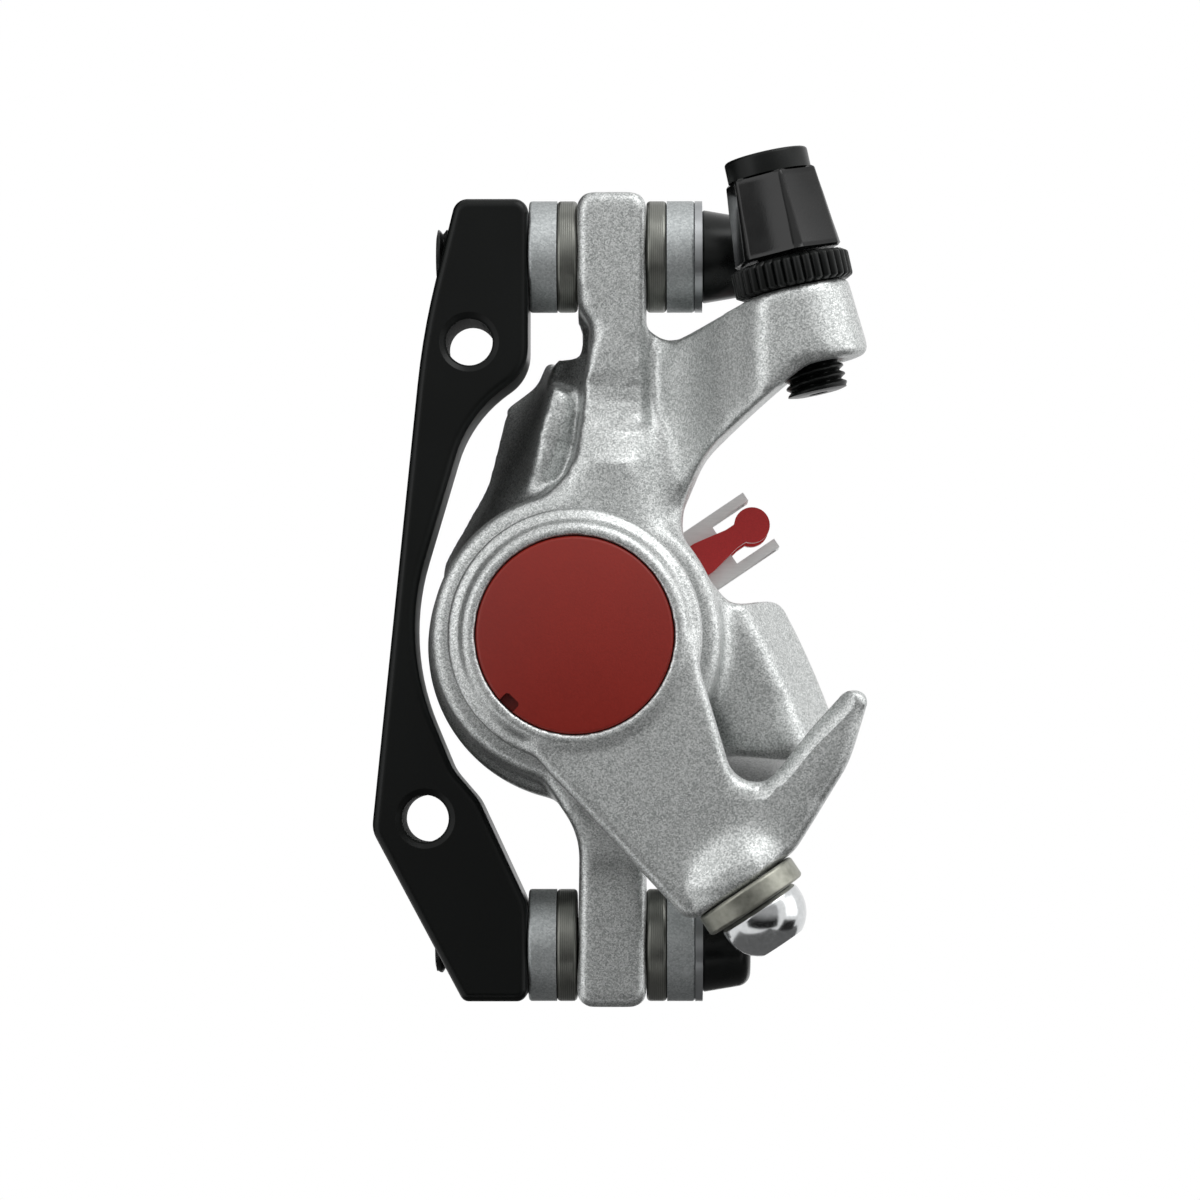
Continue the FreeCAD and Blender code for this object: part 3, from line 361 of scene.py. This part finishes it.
finishes = {
    "cast_silver": silverLacquer(), "black_anodised": blackAnodised(),
    "black_steel": blackOxide(), "plain_steel": machinedSteel(),
    "blasted_steel": blastedSteel(), "dark_steel": turnedSteel(),
    "red_moulding": redNylon(), "bright_chrome": chromePlate(),
    "nickel_steel": nickelPlate(), "spring_steel": springSteel(),
    "seal_rubber": nitrileRubber(), "red_plate": redEnamel(),
    "friction_lining": frictionLining(), "black_moulding": blackNylon(),
}
slotOf = {row["node"]: row["material_slot"] for row in frame["record"]["subparts"]}
for nodeName, node in nodes.items():
    node.data.materials.clear()
    node.data.materials.append(finishes[slotOf[nodeName]])
print("materials made:", len(finishes))


def addPiece(name, mesh, nodeName, body, sharpDeg):
    piece = bpy.data.objects.new(name, mesh)
    scene.collection.objects.link(piece)
    mesh.materials.clear()
    mesh.materials.append(finishes[slotOf[nodeName]])
    mesh.shade_smooth()
    mesh.set_sharp_from_angle(angle=radians(sharpDeg))
    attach(piece, body)
    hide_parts(nodeName)
    return piece


# The castings: the CAD solid with its edges melted as a casting's are, by a fine remesh and a
# smoothing. Fills and cuts are prisms of (x, z, y) front corners in mm that run to their backY,
# a swell is a row of (z, y) points that the front is cut back to, and coves are round places,
# some of them hollow, that are smoothed further
bodyLook = {
    "node": "caliper_body", "body": "caliper", "voxelMm": 0.42, "softSteps": 8, "sharpDeg": 60,
    "fills": [
        {"backY": 9.0, "corners": [  # foot of the spine
            (15.6, 20.6, -0.3), (14.6, 17.0, -1.0), (14.1, 15.0, -1.7), (12.9, 11.5, -2.2),
            (10.6, 9.1, -2.2), (8.9, 8.0, -2.0), (9.5, 7.4, -2.0), (13.75, 8.4, -2.4),
            (16.2, 8.4, -2.4), (16.2, 20.6, -0.3)]},
        {"backY": 9.0, "corners": [  # valley beside the flared panel
            (13.4, 21.0, 4.4), (12.5, 15.0, 4.4), (11.0, 11.5, 4.6), (9.0, 9.0, 5.6),
            (10.0, 8.0, 5.6), (14.0, 8.6, 4.0), (15.4, 21.0, 4.0)]},
        {"backY": 11.2, "corners": [  # ledge over the panel
            (11.1, 24.2, 9.0), (10.9, 20.8, 8.5), (14.4, 20.8, 4.2), (14.3, 24.2, 4.8)]},
        {"backY": 8.0, "corners": [  # lower end of the panel
            (9.3, 14.5, 3.2), (8.6, 11.5, 3.8), (7.8, 9.5, 4.6), (9.5, 8.2, 4.6),
            (11.2, 11.0, 3.8), (12.4, 14.5, 3.2)]},
        {"backY": 6.0, "corners": [  # root of the cable arm
            (20.8, 18.5, 1.2), (20.8, 13.0, -1.2), (20.8, 7.0, -2.4), (24.5, 7.0, -1.8),
            (23.8, 13.0, -0.9), (23.0, 18.5, 1.2)]},
    ],
    "cuts": [
        {"backY": 14.0, "corners": [  # corner of the web above the ledge
            (8.0, 24.3, 2.0), (13.95, 24.3, 2.0), (13.95, 27.6, 2.0), (8.0, 27.6, 2.0)]},
    ],
    "swell": {"fromX": 13.0, "toX": 23.0, "backY": -6.0, "points": [
        (24.0, -0.55), (22.0, -0.66), (20.5, -0.82), (19.0, -1.05), (17.5, -1.4),
        (16.0, -1.85), (14.8, -2.25), (13.8, -2.55), (13.0, -2.75)]},
    "coves": [
        {"place": (12.3, 4.5, 16.0), "reachMm": 8.0, "steps": 6},  # panel
        {"place": (12.3, 4.0, 21.0), "reachMm": 3.5, "steps": 20},  # upper end of the panel
        {"place": (10.5, 3.8, 11.5), "reachMm": 4.0, "steps": 20},  # lower end of the panel
        {"place": (17.5, -4.2, 16.5), "reachMm": 6.6, "steps": 40},  # swell of the spine
        {"place": (21.0, 0.0, 20.0), "reachMm": 6.0, "steps": 25},  # spine against arm
        {"place": (20.5, -1.0, 10.0), "reachMm": 7.0, "steps": 20},  # spine against housing
        {"place": (23.5, -0.5, 10.5), "reachMm": 6.5, "steps": 35},  # arm against housing
        {"place": (14.0, 10.0, 25.2), "reachMm": 3.5, "steps": 20},  # web
        {"place": (14.3, 0.5, 28.3), "reachMm": 3.5, "steps": 30},  # under the upper ear
        {"place": (14.3, 6.0, 28.3), "reachMm": 3.5, "steps": 30},  # the same, farther back
        {"place": (30.0, -3.0, 19.5), "reachMm": 9.0, "steps": 10},  # edges of the arm
        {"place": (35.0, -9.0, 21.0), "reachMm": 6.5, "steps": 8},  # end of the arm
        {"place": (34.0, 2.0, -18.5), "reachMm": 7.0, "steps": 30},  # lower slope of the block
        {"place": (41.0, 5.0, -17.0), "reachMm": 7.0, "steps": 25},  # corner of the block
        {"place": (13.75, -2.0, -6.2), "reachMm": 18.0, "hollowMm": 13.5, "steps": 14},  # rim
    ],
}
leverLook = {
    "node": "lever_arm", "body": "lever", "voxelMm": 0.28, "softSteps": 6, "sharpDeg": 60,
    "fills": [
        {"backY": -4.0, "corners": [  # thickness along the hook
            (42.0, -12.1, -9.8), (38.6, -15.8, -9.8), (34.8, -20.6, -9.8), (33.4, -22.2, -9.8),
            (36.7, -28.9, -9.8), (40.6, -22.6, -9.8), (41.9, -20.2, -9.8), (42.8, -18.2, -9.8),
            (43.5, -16.0, -9.8), (44.0, -13.6, -9.8), (43.6, -12.1, -9.8)]},
    ],
    "cuts": [
        {"backY": -13.0, "corners": [  # inner front chamfer of the hook
            (41.6, -11.5, -8.4), (36.9, -17.4, -8.4), (32.4, -23.0, -9.75),
            (33.0, -23.5, -10.05), (38.4, -18.6, -10.05), (43.1, -12.7, -10.05)]},
    ],
    "press": {"end": (31.48, -32.48), "angleDeg": -56.0, "faceY": -10.0, "keepMm": 2.2,
              "fadeMm": 4.3, "reachMm": 14.0},  # flattens the crown behind the lever's end
    "coves": [
        {"place": (27.3, -13.0, -26.3), "reachMm": 6.5, "steps": 30},  # crown
        {"place": (42.8, -7.0, -13.2), "reachMm": 4.0, "steps": 8},  # tip of the hook
        {"place": (36.5, -8.0, -28.5), "reachMm": 5.5, "steps": 15},  # outer side of the hook
        {"place": (35.0, -8.0, -24.0), "reachMm": 6.5, "steps": 40},  # root of the hook
        {"place": (39.5, -8.0, -18.0), "reachMm": 6.5, "steps": 50},  # middle of the hook
        {"place": (36.5, -8.0, -27.5), "reachMm": 5.5, "steps": 15},  # outer side once more
        {"place": (13.75, -9.0, -6.2), "reachMm": 14.5, "hollowMm": 11.3, "steps": 10},  # hub
    ],
}
smoothShare = 0.5  # how far one smoothing step moves a point towards its neighbours


def addPrism(shape, look):
    corners = look["corners"]
    front = [shape.verts.new((x * mm, y * mm, z * mm)) for x, z, y in corners]
    back = [shape.verts.new((x * mm, look["backY"] * mm, z * mm)) for x, z, y in corners]
    faces = [shape.faces.new(front), shape.faces.new(list(reversed(back)))]
    for i, corner in enumerate(front):
        faces.append(shape.faces.new((corner, back[i], back[i - 1], front[i - 1])))
    bmesh.ops.recalc_face_normals(shape, faces=faces)


# One prism for each step between the points of a swell
def swellCuts(look):
    cuts = []
    left, right = look["fromX"], look["toX"]
    for (z, y), (nextZ, nextY) in zip(look["points"], look["points"][1:]):
        corners = [(left, z, y), (left, nextZ, nextY), (right, nextZ, nextY), (right, z, y)]
        cuts.append({"backY": look["backY"], "corners": corners})
    return cuts


def linkedObject(name, shape):
    mesh = bpy.data.meshes.new(name)
    shape.to_mesh(mesh)
    shape.free()
    linked = bpy.data.objects.new(name, mesh)
    scene.collection.objects.link(linked)
    return linked


# Presses what stands before the face plane back to it, fading in behind the end that stays
def pressCrown(shape, look):
    angle, face = radians(look["angleDeg"]), look["faceY"] * mm
    along = Vector((cos(angle), 0, sin(angle)))
    end = Vector((look["end"][0], 0, look["end"][1])) * mm
    for v in [v for v in shape.verts if v.co.y < face]:
        back = ((end - v.co).dot(along) / mm - look["keepMm"]) / look["fadeMm"]
        back = min(1.0, max(0.0, back))
        near = (v.co - end).xz.length < look["reachMm"] * mm
        fade = 1 - back * back * (3 - 2 * back) if near else 1.0
        v.co.y = face + (v.co.y - face) * fade


def castMesh(look):
    shape = bmesh.new()
    shape.from_mesh(nodes[look["node"]].data)
    bmesh.ops.remove_doubles(shape, verts=shape.verts, dist=0.001 * mm)
    for fill in look["fills"]:
        addPrism(shape, fill)
    blank = linkedObject("casting_blank", shape)
    skin = blank.modifiers.new("skin", "REMESH")
    skin.mode = "VOXEL"
    skin.voxel_size = look["voxelMm"] * mm
    tools = []
    for cut in look["cuts"] + (swellCuts(look["swell"]) if "swell" in look else []):
        shape = bmesh.new()
        addPrism(shape, cut)
        tools.append(linkedObject("casting_cut", shape))
        trim = blank.modifiers.new("trim", "BOOLEAN")
        trim.operation = "DIFFERENCE"
        trim.object = tools[-1]
    soft = blank.modifiers.new("soft", "SMOOTH")
    soft.factor = smoothShare
    soft.iterations = look["softSteps"]
    graph = bpy.context.evaluated_depsgraph_get()
    mesh = bpy.data.meshes.new_from_object(blank.evaluated_get(graph))
    for used in [blank] + tools:
        bpy.data.objects.remove(used)
    shape = bmesh.new()
    shape.from_mesh(mesh)
    if "press" in look:
        pressCrown(shape, look["press"])
    for cove in look["coves"]:
        middle = Vector(cove["place"]) * mm
        low, high = cove.get("hollowMm", 0.0) * mm, cove["reachMm"] * mm
        near = [v for v in shape.verts if low <= (v.co - middle).length < high]
        for step in range(cove["steps"]):
            bmesh.ops.smooth_vert(shape, verts=near, factor=smoothShare,
                                  use_axis_x=True, use_axis_y=True, use_axis_z=True)
    shape.to_mesh(mesh)
    shape.free()
    return mesh


for castName, look in {"cast_body": bodyLook, "cast_lever": leverLook}.items():
    casting = addPiece(castName, castMesh(look), look["node"], look["body"], look["sharpDeg"])
    print("casting", castName, len(casting.data.polygons), "faces")


# A surface of rings round an axis, each ring a height and a radius, or a radius that changes
# with the angle
def ringMesh(name, base, axis, rings, columns, closed=False):
    side = Vector((0, 1, 0)) if abs(axis.y) < 0.5 else Vector((1, 0, 0))
    other = axis.cross(side)
    shape = bmesh.new()
    loops = []
    for height, radius in rings:
        loop = []
        for column in range(columns):
            angle = 2 * pi * column / columns
            r = radius(angle) if callable(radius) else radius
            point = base + axis * height + side * (r * cos(angle)) + other * (r * sin(angle))
            loop.append(shape.verts.new(point * mm))
        loops.append(loop)
    pairs = list(zip(loops, loops[1:])) + ([(loops[-1], loops[0])] if closed else [])
    for lower, upper in pairs:
        for column in range(columns):
            follow = (column + 1) % columns
            shape.faces.new((lower[column], lower[follow], upper[follow], upper[column]))
    if not closed:
        shape.faces.new(list(reversed(loops[0])))
        shape.faces.new(loops[-1])
    bmesh.ops.recalc_face_normals(shape, faces=shape.faces)
    mesh = bpy.data.meshes.new(name)
    shape.to_mesh(mesh)
    shape.free()
    return mesh


turnedSharpDeg = 35
threadLook = {"steps": 10, "depthShare": 0.6, "runIn": 0.25, "flank": 2.6, "crest": 0.3}


# Rings of a screw thread between two heights, as a triangle wave that climbs one pitch a turn
def threadRings(low, high, crestR, pitch):
    look = threadLook
    depth = look["depthShare"] * pitch
    rings = []
    count = int((high - low) / pitch * look["steps"])
    for i in range(count + 1):
        height = low + (high - low) * i / count
        fade = min(1.0, (height - low) / pitch + look["runIn"],
                   (high - height) / pitch + look["runIn"])

        def radius(angle, height=height, fade=fade):
            phase = (height / pitch - angle / (2 * pi)) % 1.0
            cut = abs(phase - 0.5) * look["flank"] - look["crest"]
            return crestR - depth * fade * min(1.0, max(0.0, cut))

        rings.append((height, radius))
    return rings


def hexRadius(across):
    return lambda angle: across / 2 / cos((angle + pi / 6) % (pi / 3) - pi / 6)


def arcRings(centreR, centreH, r, startDeg, endDeg, count):
    angles = [radians(startDeg + (endDeg - startDeg) * i / count) for i in range(count + 1)]
    return [(centreH + r * sin(a), centreR + r * cos(a)) for a in angles]


# Socket bolts of the two posts, threads cut only where they come out behind the bracket
boltLook = {"postZ": (35.05, -38.95), "postY": 6.0, "tipX": -1.4, "tipInset": 0.75,
            "tipLead": 0.15, "shankR": 2.95, "pitch": 1.0, "threadEnd": 4.0, "runOut": 0.2,
            "headX": 27.2, "headLength": 5.1, "headR": 5.0, "footRound": 0.25, "taper": 0.8,
            "endRound": 1.5, "endInset": 0.86, "endStartDeg": 9, "hex": 5.0, "hexLead": 0.3,
            "hexDepth": 3.0, "hexCone": 0.3, "hexPointR": 0.6, "columns": 72}


def boltRings():
    look = boltLook
    top = look["headX"] + look["headLength"]
    foot, hexEnd = look["footRound"], top - look["hexDepth"]
    rings = [(look["tipX"], look["shankR"] - look["tipInset"])]
    rings += threadRings(look["tipX"] + look["tipLead"], look["threadEnd"], look["shankR"],
                         look["pitch"])
    rings += [(look["threadEnd"] + look["runOut"], look["shankR"])]
    rings += [(look["headX"], look["shankR"])]
    rings += arcRings(look["headR"] - foot, look["headX"] + foot, foot, -90, 0, 4)
    endR = look["headR"] - look["taper"] - look["endInset"] * look["endRound"]
    rings += arcRings(endR, top - look["endRound"], look["endRound"], look["endStartDeg"], 90, 10)
    rings += [(top - look["hexLead"], hexRadius(look["hex"])), (hexEnd, hexRadius(look["hex"]))]
    rings += [(hexEnd - look["hexCone"], look["hexPointR"])]
    return rings


boltMesh = bpy.data.meshes.new("post_bolts")
shape = bmesh.new()
for z in boltLook["postZ"]:
    single = ringMesh("post_bolt", Vector((0, boltLook["postY"], z)), Vector((1, 0, 0)),
                      boltRings(), boltLook["columns"])
    shape.from_mesh(single)
    bpy.data.meshes.remove(single)
shape.to_mesh(boltMesh)
shape.free()
addPiece("post_bolts", boltMesh, "mount_bolts", "caliper", turnedSharpDeg)

# Domed clamp bolt: a polished cap with a hex socket in its crown
clampLook = {"reach": 31.7, "angleDeg": -56.0, "middleY": -6.9, "washer": 2.4, "depth": 6.2,
             "shankR": 2.95, "tipInset": 0.5, "headR": 4.6, "headLength": 5.2, "footRound": 0.7,
             "domeRound": 4.0, "domeEndDeg": 62, "hex": 4.0, "hexLead": 0.55, "hexDepth": 3.0,
             "hexCone": 0.3, "hexPointR": 0.5, "columns": 96}
camAxis = Vector((13.75, 0, -6.2))
clampAngle = radians(clampLook["angleDeg"])
clampAxis = Vector((cos(clampAngle), 0, sin(clampAngle)))
clampBase = camAxis + clampAxis * clampLook["reach"] + Vector((0, clampLook["middleY"], 0))


def clampRings():
    look = clampLook
    top = look["washer"] + look["headLength"]
    foot, dome, hexEnd = look["footRound"], look["domeRound"], top - look["hexDepth"]
    rings = [(-look["depth"], look["shankR"] - look["tipInset"])]
    rings += [(look["tipInset"] - look["depth"], look["shankR"])]
    rings += [(look["washer"], look["shankR"])]
    rings += arcRings(look["headR"] - foot, look["washer"] + foot, foot, -90, 0, 6)
    rings += arcRings(look["headR"] - dome, top - dome, dome, 0, look["domeEndDeg"], 16)
    rings += [(top - look["hexLead"], hexRadius(look["hex"])), (hexEnd, hexRadius(look["hex"]))]
    rings += [(hexEnd - look["hexCone"], look["hexPointR"])]
    return rings


clampMesh = ringMesh("clamp_bolt", clampBase, clampAxis, clampRings(), clampLook["columns"])
addPiece("clamp_bolt", clampMesh, "pinch_bolt", "lever", turnedSharpDeg)

# Barrel adjuster: threaded stem, knurled lock ring and fluted grip on one tilted axis
barrelLook = {"base": (36.9, -6.9, 30.2), "tiltDeg": 12.5, "stemR": 3.2, "below": 11.2,
              "tipInset": 0.7, "tipLead": 0.15, "threadTop": 3.0, "runOut": 0.2, "pitch": 0.9,
              "gripLow": 3.5, "gripHigh": 12.35, "coreR": 3.8, "collarR": 4.45,
              "collarHeight": 2.2, "collarRound": 0.35, "mouthRound": 0.3, "socketR": 2.55,
              "socketDepth": 10.0, "cableR": 1.0, "columns": 72}
barrelBase = Vector(barrelLook["base"])
barrelTilt = radians(barrelLook["tiltDeg"])
barrelAxis = Vector((-sin(barrelTilt), 0, cos(barrelTilt)))


def stemRings():
    look = barrelLook
    top = look["gripHigh"] + look["collarHeight"]
    collar, mouth, socketEnd = look["collarRound"], look["mouthRound"], top - look["socketDepth"]
    rings = [(-look["below"], look["stemR"] - look["tipInset"])]
    rings += threadRings(look["tipLead"] - look["below"], look["threadTop"], look["stemR"],
                         look["pitch"])
    rings += [(look["threadTop"] + look["runOut"], look["stemR"])]
    rings += [(look["gripLow"], look["stemR"]), (look["gripLow"], look["coreR"])]
    rings += [(look["gripHigh"], look["coreR"]), (look["gripHigh"], look["collarR"])]
    rings += arcRings(look["collarR"] - collar, top - collar, collar, 0, 90, 5)
    rings += arcRings(look["socketR"] + mouth, top - mouth, mouth, 90, 180, 4)
    rings += [(socketEnd, look["socketR"]), (socketEnd, look["cableR"])]
    rings += [(-look["below"], look["cableR"])]
    return rings


stemMesh = ringMesh("threaded_stem", barrelBase, barrelAxis, stemRings(),
                    barrelLook["columns"], True)
addPiece("threaded_stem", stemMesh, "barrel_stem", "barrel_stem", turnedSharpDeg)

ringLook = {"radius": 6.3, "seat": 0.05, "height": 3.2, "boreR": 3.26, "boreBevel": 0.2,
            "boreLow": 0.25, "ridges": 36, "depth": 0.42, "sharpness": 0.7, "bevel": 0.35,
            "bevelInset": 0.05, "bevelRun": 0.2, "edgeInset": 0.25, "columns": 360}


def lockRings():
    look = ringLook
    top, bevel, run = look["height"], look["bevel"], look["bevelRun"]
    mouthR = look["boreR"] + look["boreBevel"]

    def knurl(inset):
        def radius(angle):
            wave = abs(sin(angle * look["ridges"] / 2))
            return look["radius"] - inset - look["depth"] * (1 - wave ** look["sharpness"])
        return radius

    edge = bevel + look["edgeInset"]
    heights = [(look["seat"], edge), (bevel, look["bevelInset"]), (bevel + run, 0.0),
               (top - bevel - run, 0.0), (top - bevel, look["bevelInset"]), (top, edge)]
    rings = [(height, knurl(inset)) for height, inset in heights]
    rings += [(top, mouthR), (top - look["boreBevel"], look["boreR"])]
    rings += [(look["boreLow"], look["boreR"]), (look["seat"], mouthR)]
    return rings


knurlMesh = ringMesh("knurled_ring", barrelBase, barrelAxis, lockRings(),
                     ringLook["columns"], True)
addPiece("knurled_ring", knurlMesh, "lock_ring", "lock_ring", turnedSharpDeg)

gripLook = {"low": 3.5, "high": 12.35, "bottomR": 5.85, "topR": 4.95, "boreR": 3.86,
            "flutes": 6, "fluteR": 24.0, "bottomChord": 5.0, "topChord": 4.7, "startDeg": 40.7,
            "lowInset": 0.3, "lowRun": 0.25, "highInset": 0.25, "highRun": 0.2, "steps": 24,
            "columns": 240}


# Distance from the barrel axis to the axis of a round cutter that leaves this chord on the grip
def fluteAxis(r, chord):
    return (r ** 2 - chord ** 2 / 4) ** 0.5 + (gripLook["fluteR"] ** 2 - chord ** 2 / 4) ** 0.5


def gripRings():
    look = gripLook
    rings = []
    span = look["high"] - look["low"]
    pitch = 2 * pi / look["flutes"]
    axisLow = fluteAxis(look["bottomR"], look["bottomChord"])
    axisHigh = fluteAxis(look["topR"], look["topChord"])
    for i in range(look["steps"] + 1):
        share = i / look["steps"]
        height = look["low"] + span * share
        outer = look["bottomR"] + (look["topR"] - look["bottomR"]) * share
        centre = axisLow + (axisHigh - axisLow) * share

        def radius(angle, outer=outer, centre=centre):
            turn = (angle - radians(look["startDeg"]) + pitch / 2) % pitch - pitch / 2
            depth = (look["fluteR"] ** 2 - (centre * sin(turn)) ** 2) ** 0.5
            return min(outer, centre * cos(turn) - depth)

        rings.append((height, radius))
    low, high = rings[0][1], rings[-1][1]
    foot = [(look["low"], lambda a: low(a) - look["lowInset"]), (look["low"] + look["lowRun"], low)]
    rings = foot + rings[1:-1] + [(look["high"] - look["highRun"], high)]
    rings += [(look["high"], lambda a: high(a) - look["highInset"])]
    rings += [(look["high"], look["boreR"]), (look["low"], look["boreR"])]
    return rings


gripMesh = ringMesh("fluted_grip", barrelBase, barrelAxis, gripRings(), gripLook["columns"], True)
addPiece("fluted_grip", gripMesh, "barrel_grip", "barrel_grip", turnedSharpDeg)
print("turned pieces made")

# Camera at the photograph's angle: a long lens a little below the cap, looking slightly up
cameraLook = {"place": (23.17, -544.0, -23.3), "aim": (16.2, 6.0, -1.94), "lens": 153.6,
              "sensor": 36.0, "clipStart": 0.01}
cameraData = bpy.data.cameras.new("camera")
cameraData.lens = cameraLook["lens"]
cameraData.sensor_width = cameraLook["sensor"]
cameraData.clip_start = cameraLook["clipStart"]
camera = bpy.data.objects.new("camera", cameraData)
scene.collection.objects.link(camera)
cameraPlace = Vector(cameraLook["place"])
camera.location = cameraPlace * mm
cameraView = Vector(cameraLook["aim"]) - cameraPlace
camera.rotation_euler = cameraView.to_track_quat("-Z", "Y").to_euler()
scene.camera = camera

# Soft boxes: a large one above and to the right, weak ones on the left and at the right rim
lampLook = {
    "key_box": {"place": (300.0, -260.0, 480.0), "sizeMm": 420.0, "watts": 1.5},
    "fill_box": {"place": (-420.0, -420.0, 160.0), "sizeMm": 400.0, "watts": 0.5},
    "rim_box": {"place": (460.0, -60.0, 80.0), "sizeMm": 320.0, "watts": 0.3},
}
for lampName, look in lampLook.items():
    lampData = bpy.data.lights.new(lampName, "AREA")
    lampData.size = look["sizeMm"] * mm
    lampData.energy = look["watts"]
    lamp = bpy.data.objects.new(lampName, lampData)
    scene.collection.objects.link(lamp)
    lamp.location = Vector(look["place"]) * mm
    lamp.rotation_euler = (camAxis * mm - lamp.location).to_track_quat("-Z", "Y").to_euler()

# White surroundings for the eye and for the metal, a dimmer grey as the room's own light
worldLook = {"colour": "#FFFFFF", "seenStrength": 1.0, "roomStrength": 0.32}
world = bpy.data.worlds.new("studio")
scene.world = world
world.use_nodes = True
tree = world.node_tree
tree.nodes.clear()
path = addNode(tree, "LightPath", {})
seen = addNode(tree, "Math", {"operation": "MAXIMUM"},
               {0: path.outputs["Is Camera Ray"], 1: path.outputs["Is Glossy Ray"]})
seen = addNode(tree, "Math", {"operation": "MAXIMUM"},
               {0: seen.outputs[0], 1: path.outputs["Is Transmission Ray"]})
worldColour = linearColour(worldLook["colour"])
room = addNode(tree, "Background", {"Color": worldColour, "Strength": worldLook["roomStrength"]})
white = addNode(tree, "Background", {"Color": worldColour, "Strength": worldLook["seenStrength"]})
both = addNode(tree, "MixShader", {}, {0: seen.outputs[0], 1: room.outputs[0], 2: white.outputs[0]})
addNode(tree, "OutputWorld", {}, {"Surface": both.outputs[0]})

# Cards out of the camera's sight that the metal mirrors: before the part one that darkens
# downwards, and dark ones behind its left, below it and low at its right
cardLook = {
    "front_card": {"place": (20.0, -330.0, -60.0), "size": (560.0, 420.0),
                   "dark": "#141414", "light": "#B2B2B2", "darkAt": -75.0, "lightAt": 45.0},
    "left_card": {"place": (-280.0, 250.0, 130.0), "size": (640.0, 640.0),
                  "dark": "#121212", "light": "#121212", "darkAt": -320.0, "lightAt": 320.0},
    "low_card": {"place": (40.0, 50.0, -270.0), "size": (640.0, 640.0),
                 "dark": "#6A6A6A", "light": "#6A6A6A", "darkAt": -320.0, "lightAt": 320.0},
    "corner_card": {"place": (330.0, -60.0, -250.0), "size": (300.0, 300.0),
                    "dark": "#1C1C1C", "light": "#1C1C1C", "darkAt": -150.0, "lightAt": 150.0},
}
for cardName, look in cardLook.items():
    shape = bmesh.new()
    wide, tall = [length / 2 * mm for length in look["size"]]
    corners = [(-wide, -tall, 0), (wide, -tall, 0), (wide, tall, 0), (-wide, tall, 0)]
    shape.faces.new([shape.verts.new(corner) for corner in corners])
    cardMesh = bpy.data.meshes.new(cardName)
    shape.to_mesh(cardMesh)
    shape.free()
    card = bpy.data.objects.new(cardName, cardMesh)
    material, tree, at = newMaterial(cardName + "_grey")
    axes = addNode(tree, "SeparateXYZ", {}, at)
    rise = addNode(tree, "MapRange", {"From Min": look["darkAt"] * mm,
                                      "From Max": look["lightAt"] * mm},
                   {"Value": axes.outputs[1]})
    grey = twoTones(tree, look, rise.outputs[0])
    glow = addNode(tree, "Emission", {"Strength": 1.0}, {"Color": grey})
    addNode(tree, "OutputMaterial", {}, {"Surface": glow.outputs[0]})
    cardMesh.materials.append(material)
    scene.collection.objects.link(card)
    card.location = Vector(look["place"]) * mm
    card.rotation_euler = (camAxis * mm - card.location).to_track_quat("Z", "Y").to_euler()
    card.visible_camera = False
    card.visible_shadow = False
print("stage set")

scene.view_settings.view_transform = "Standard"
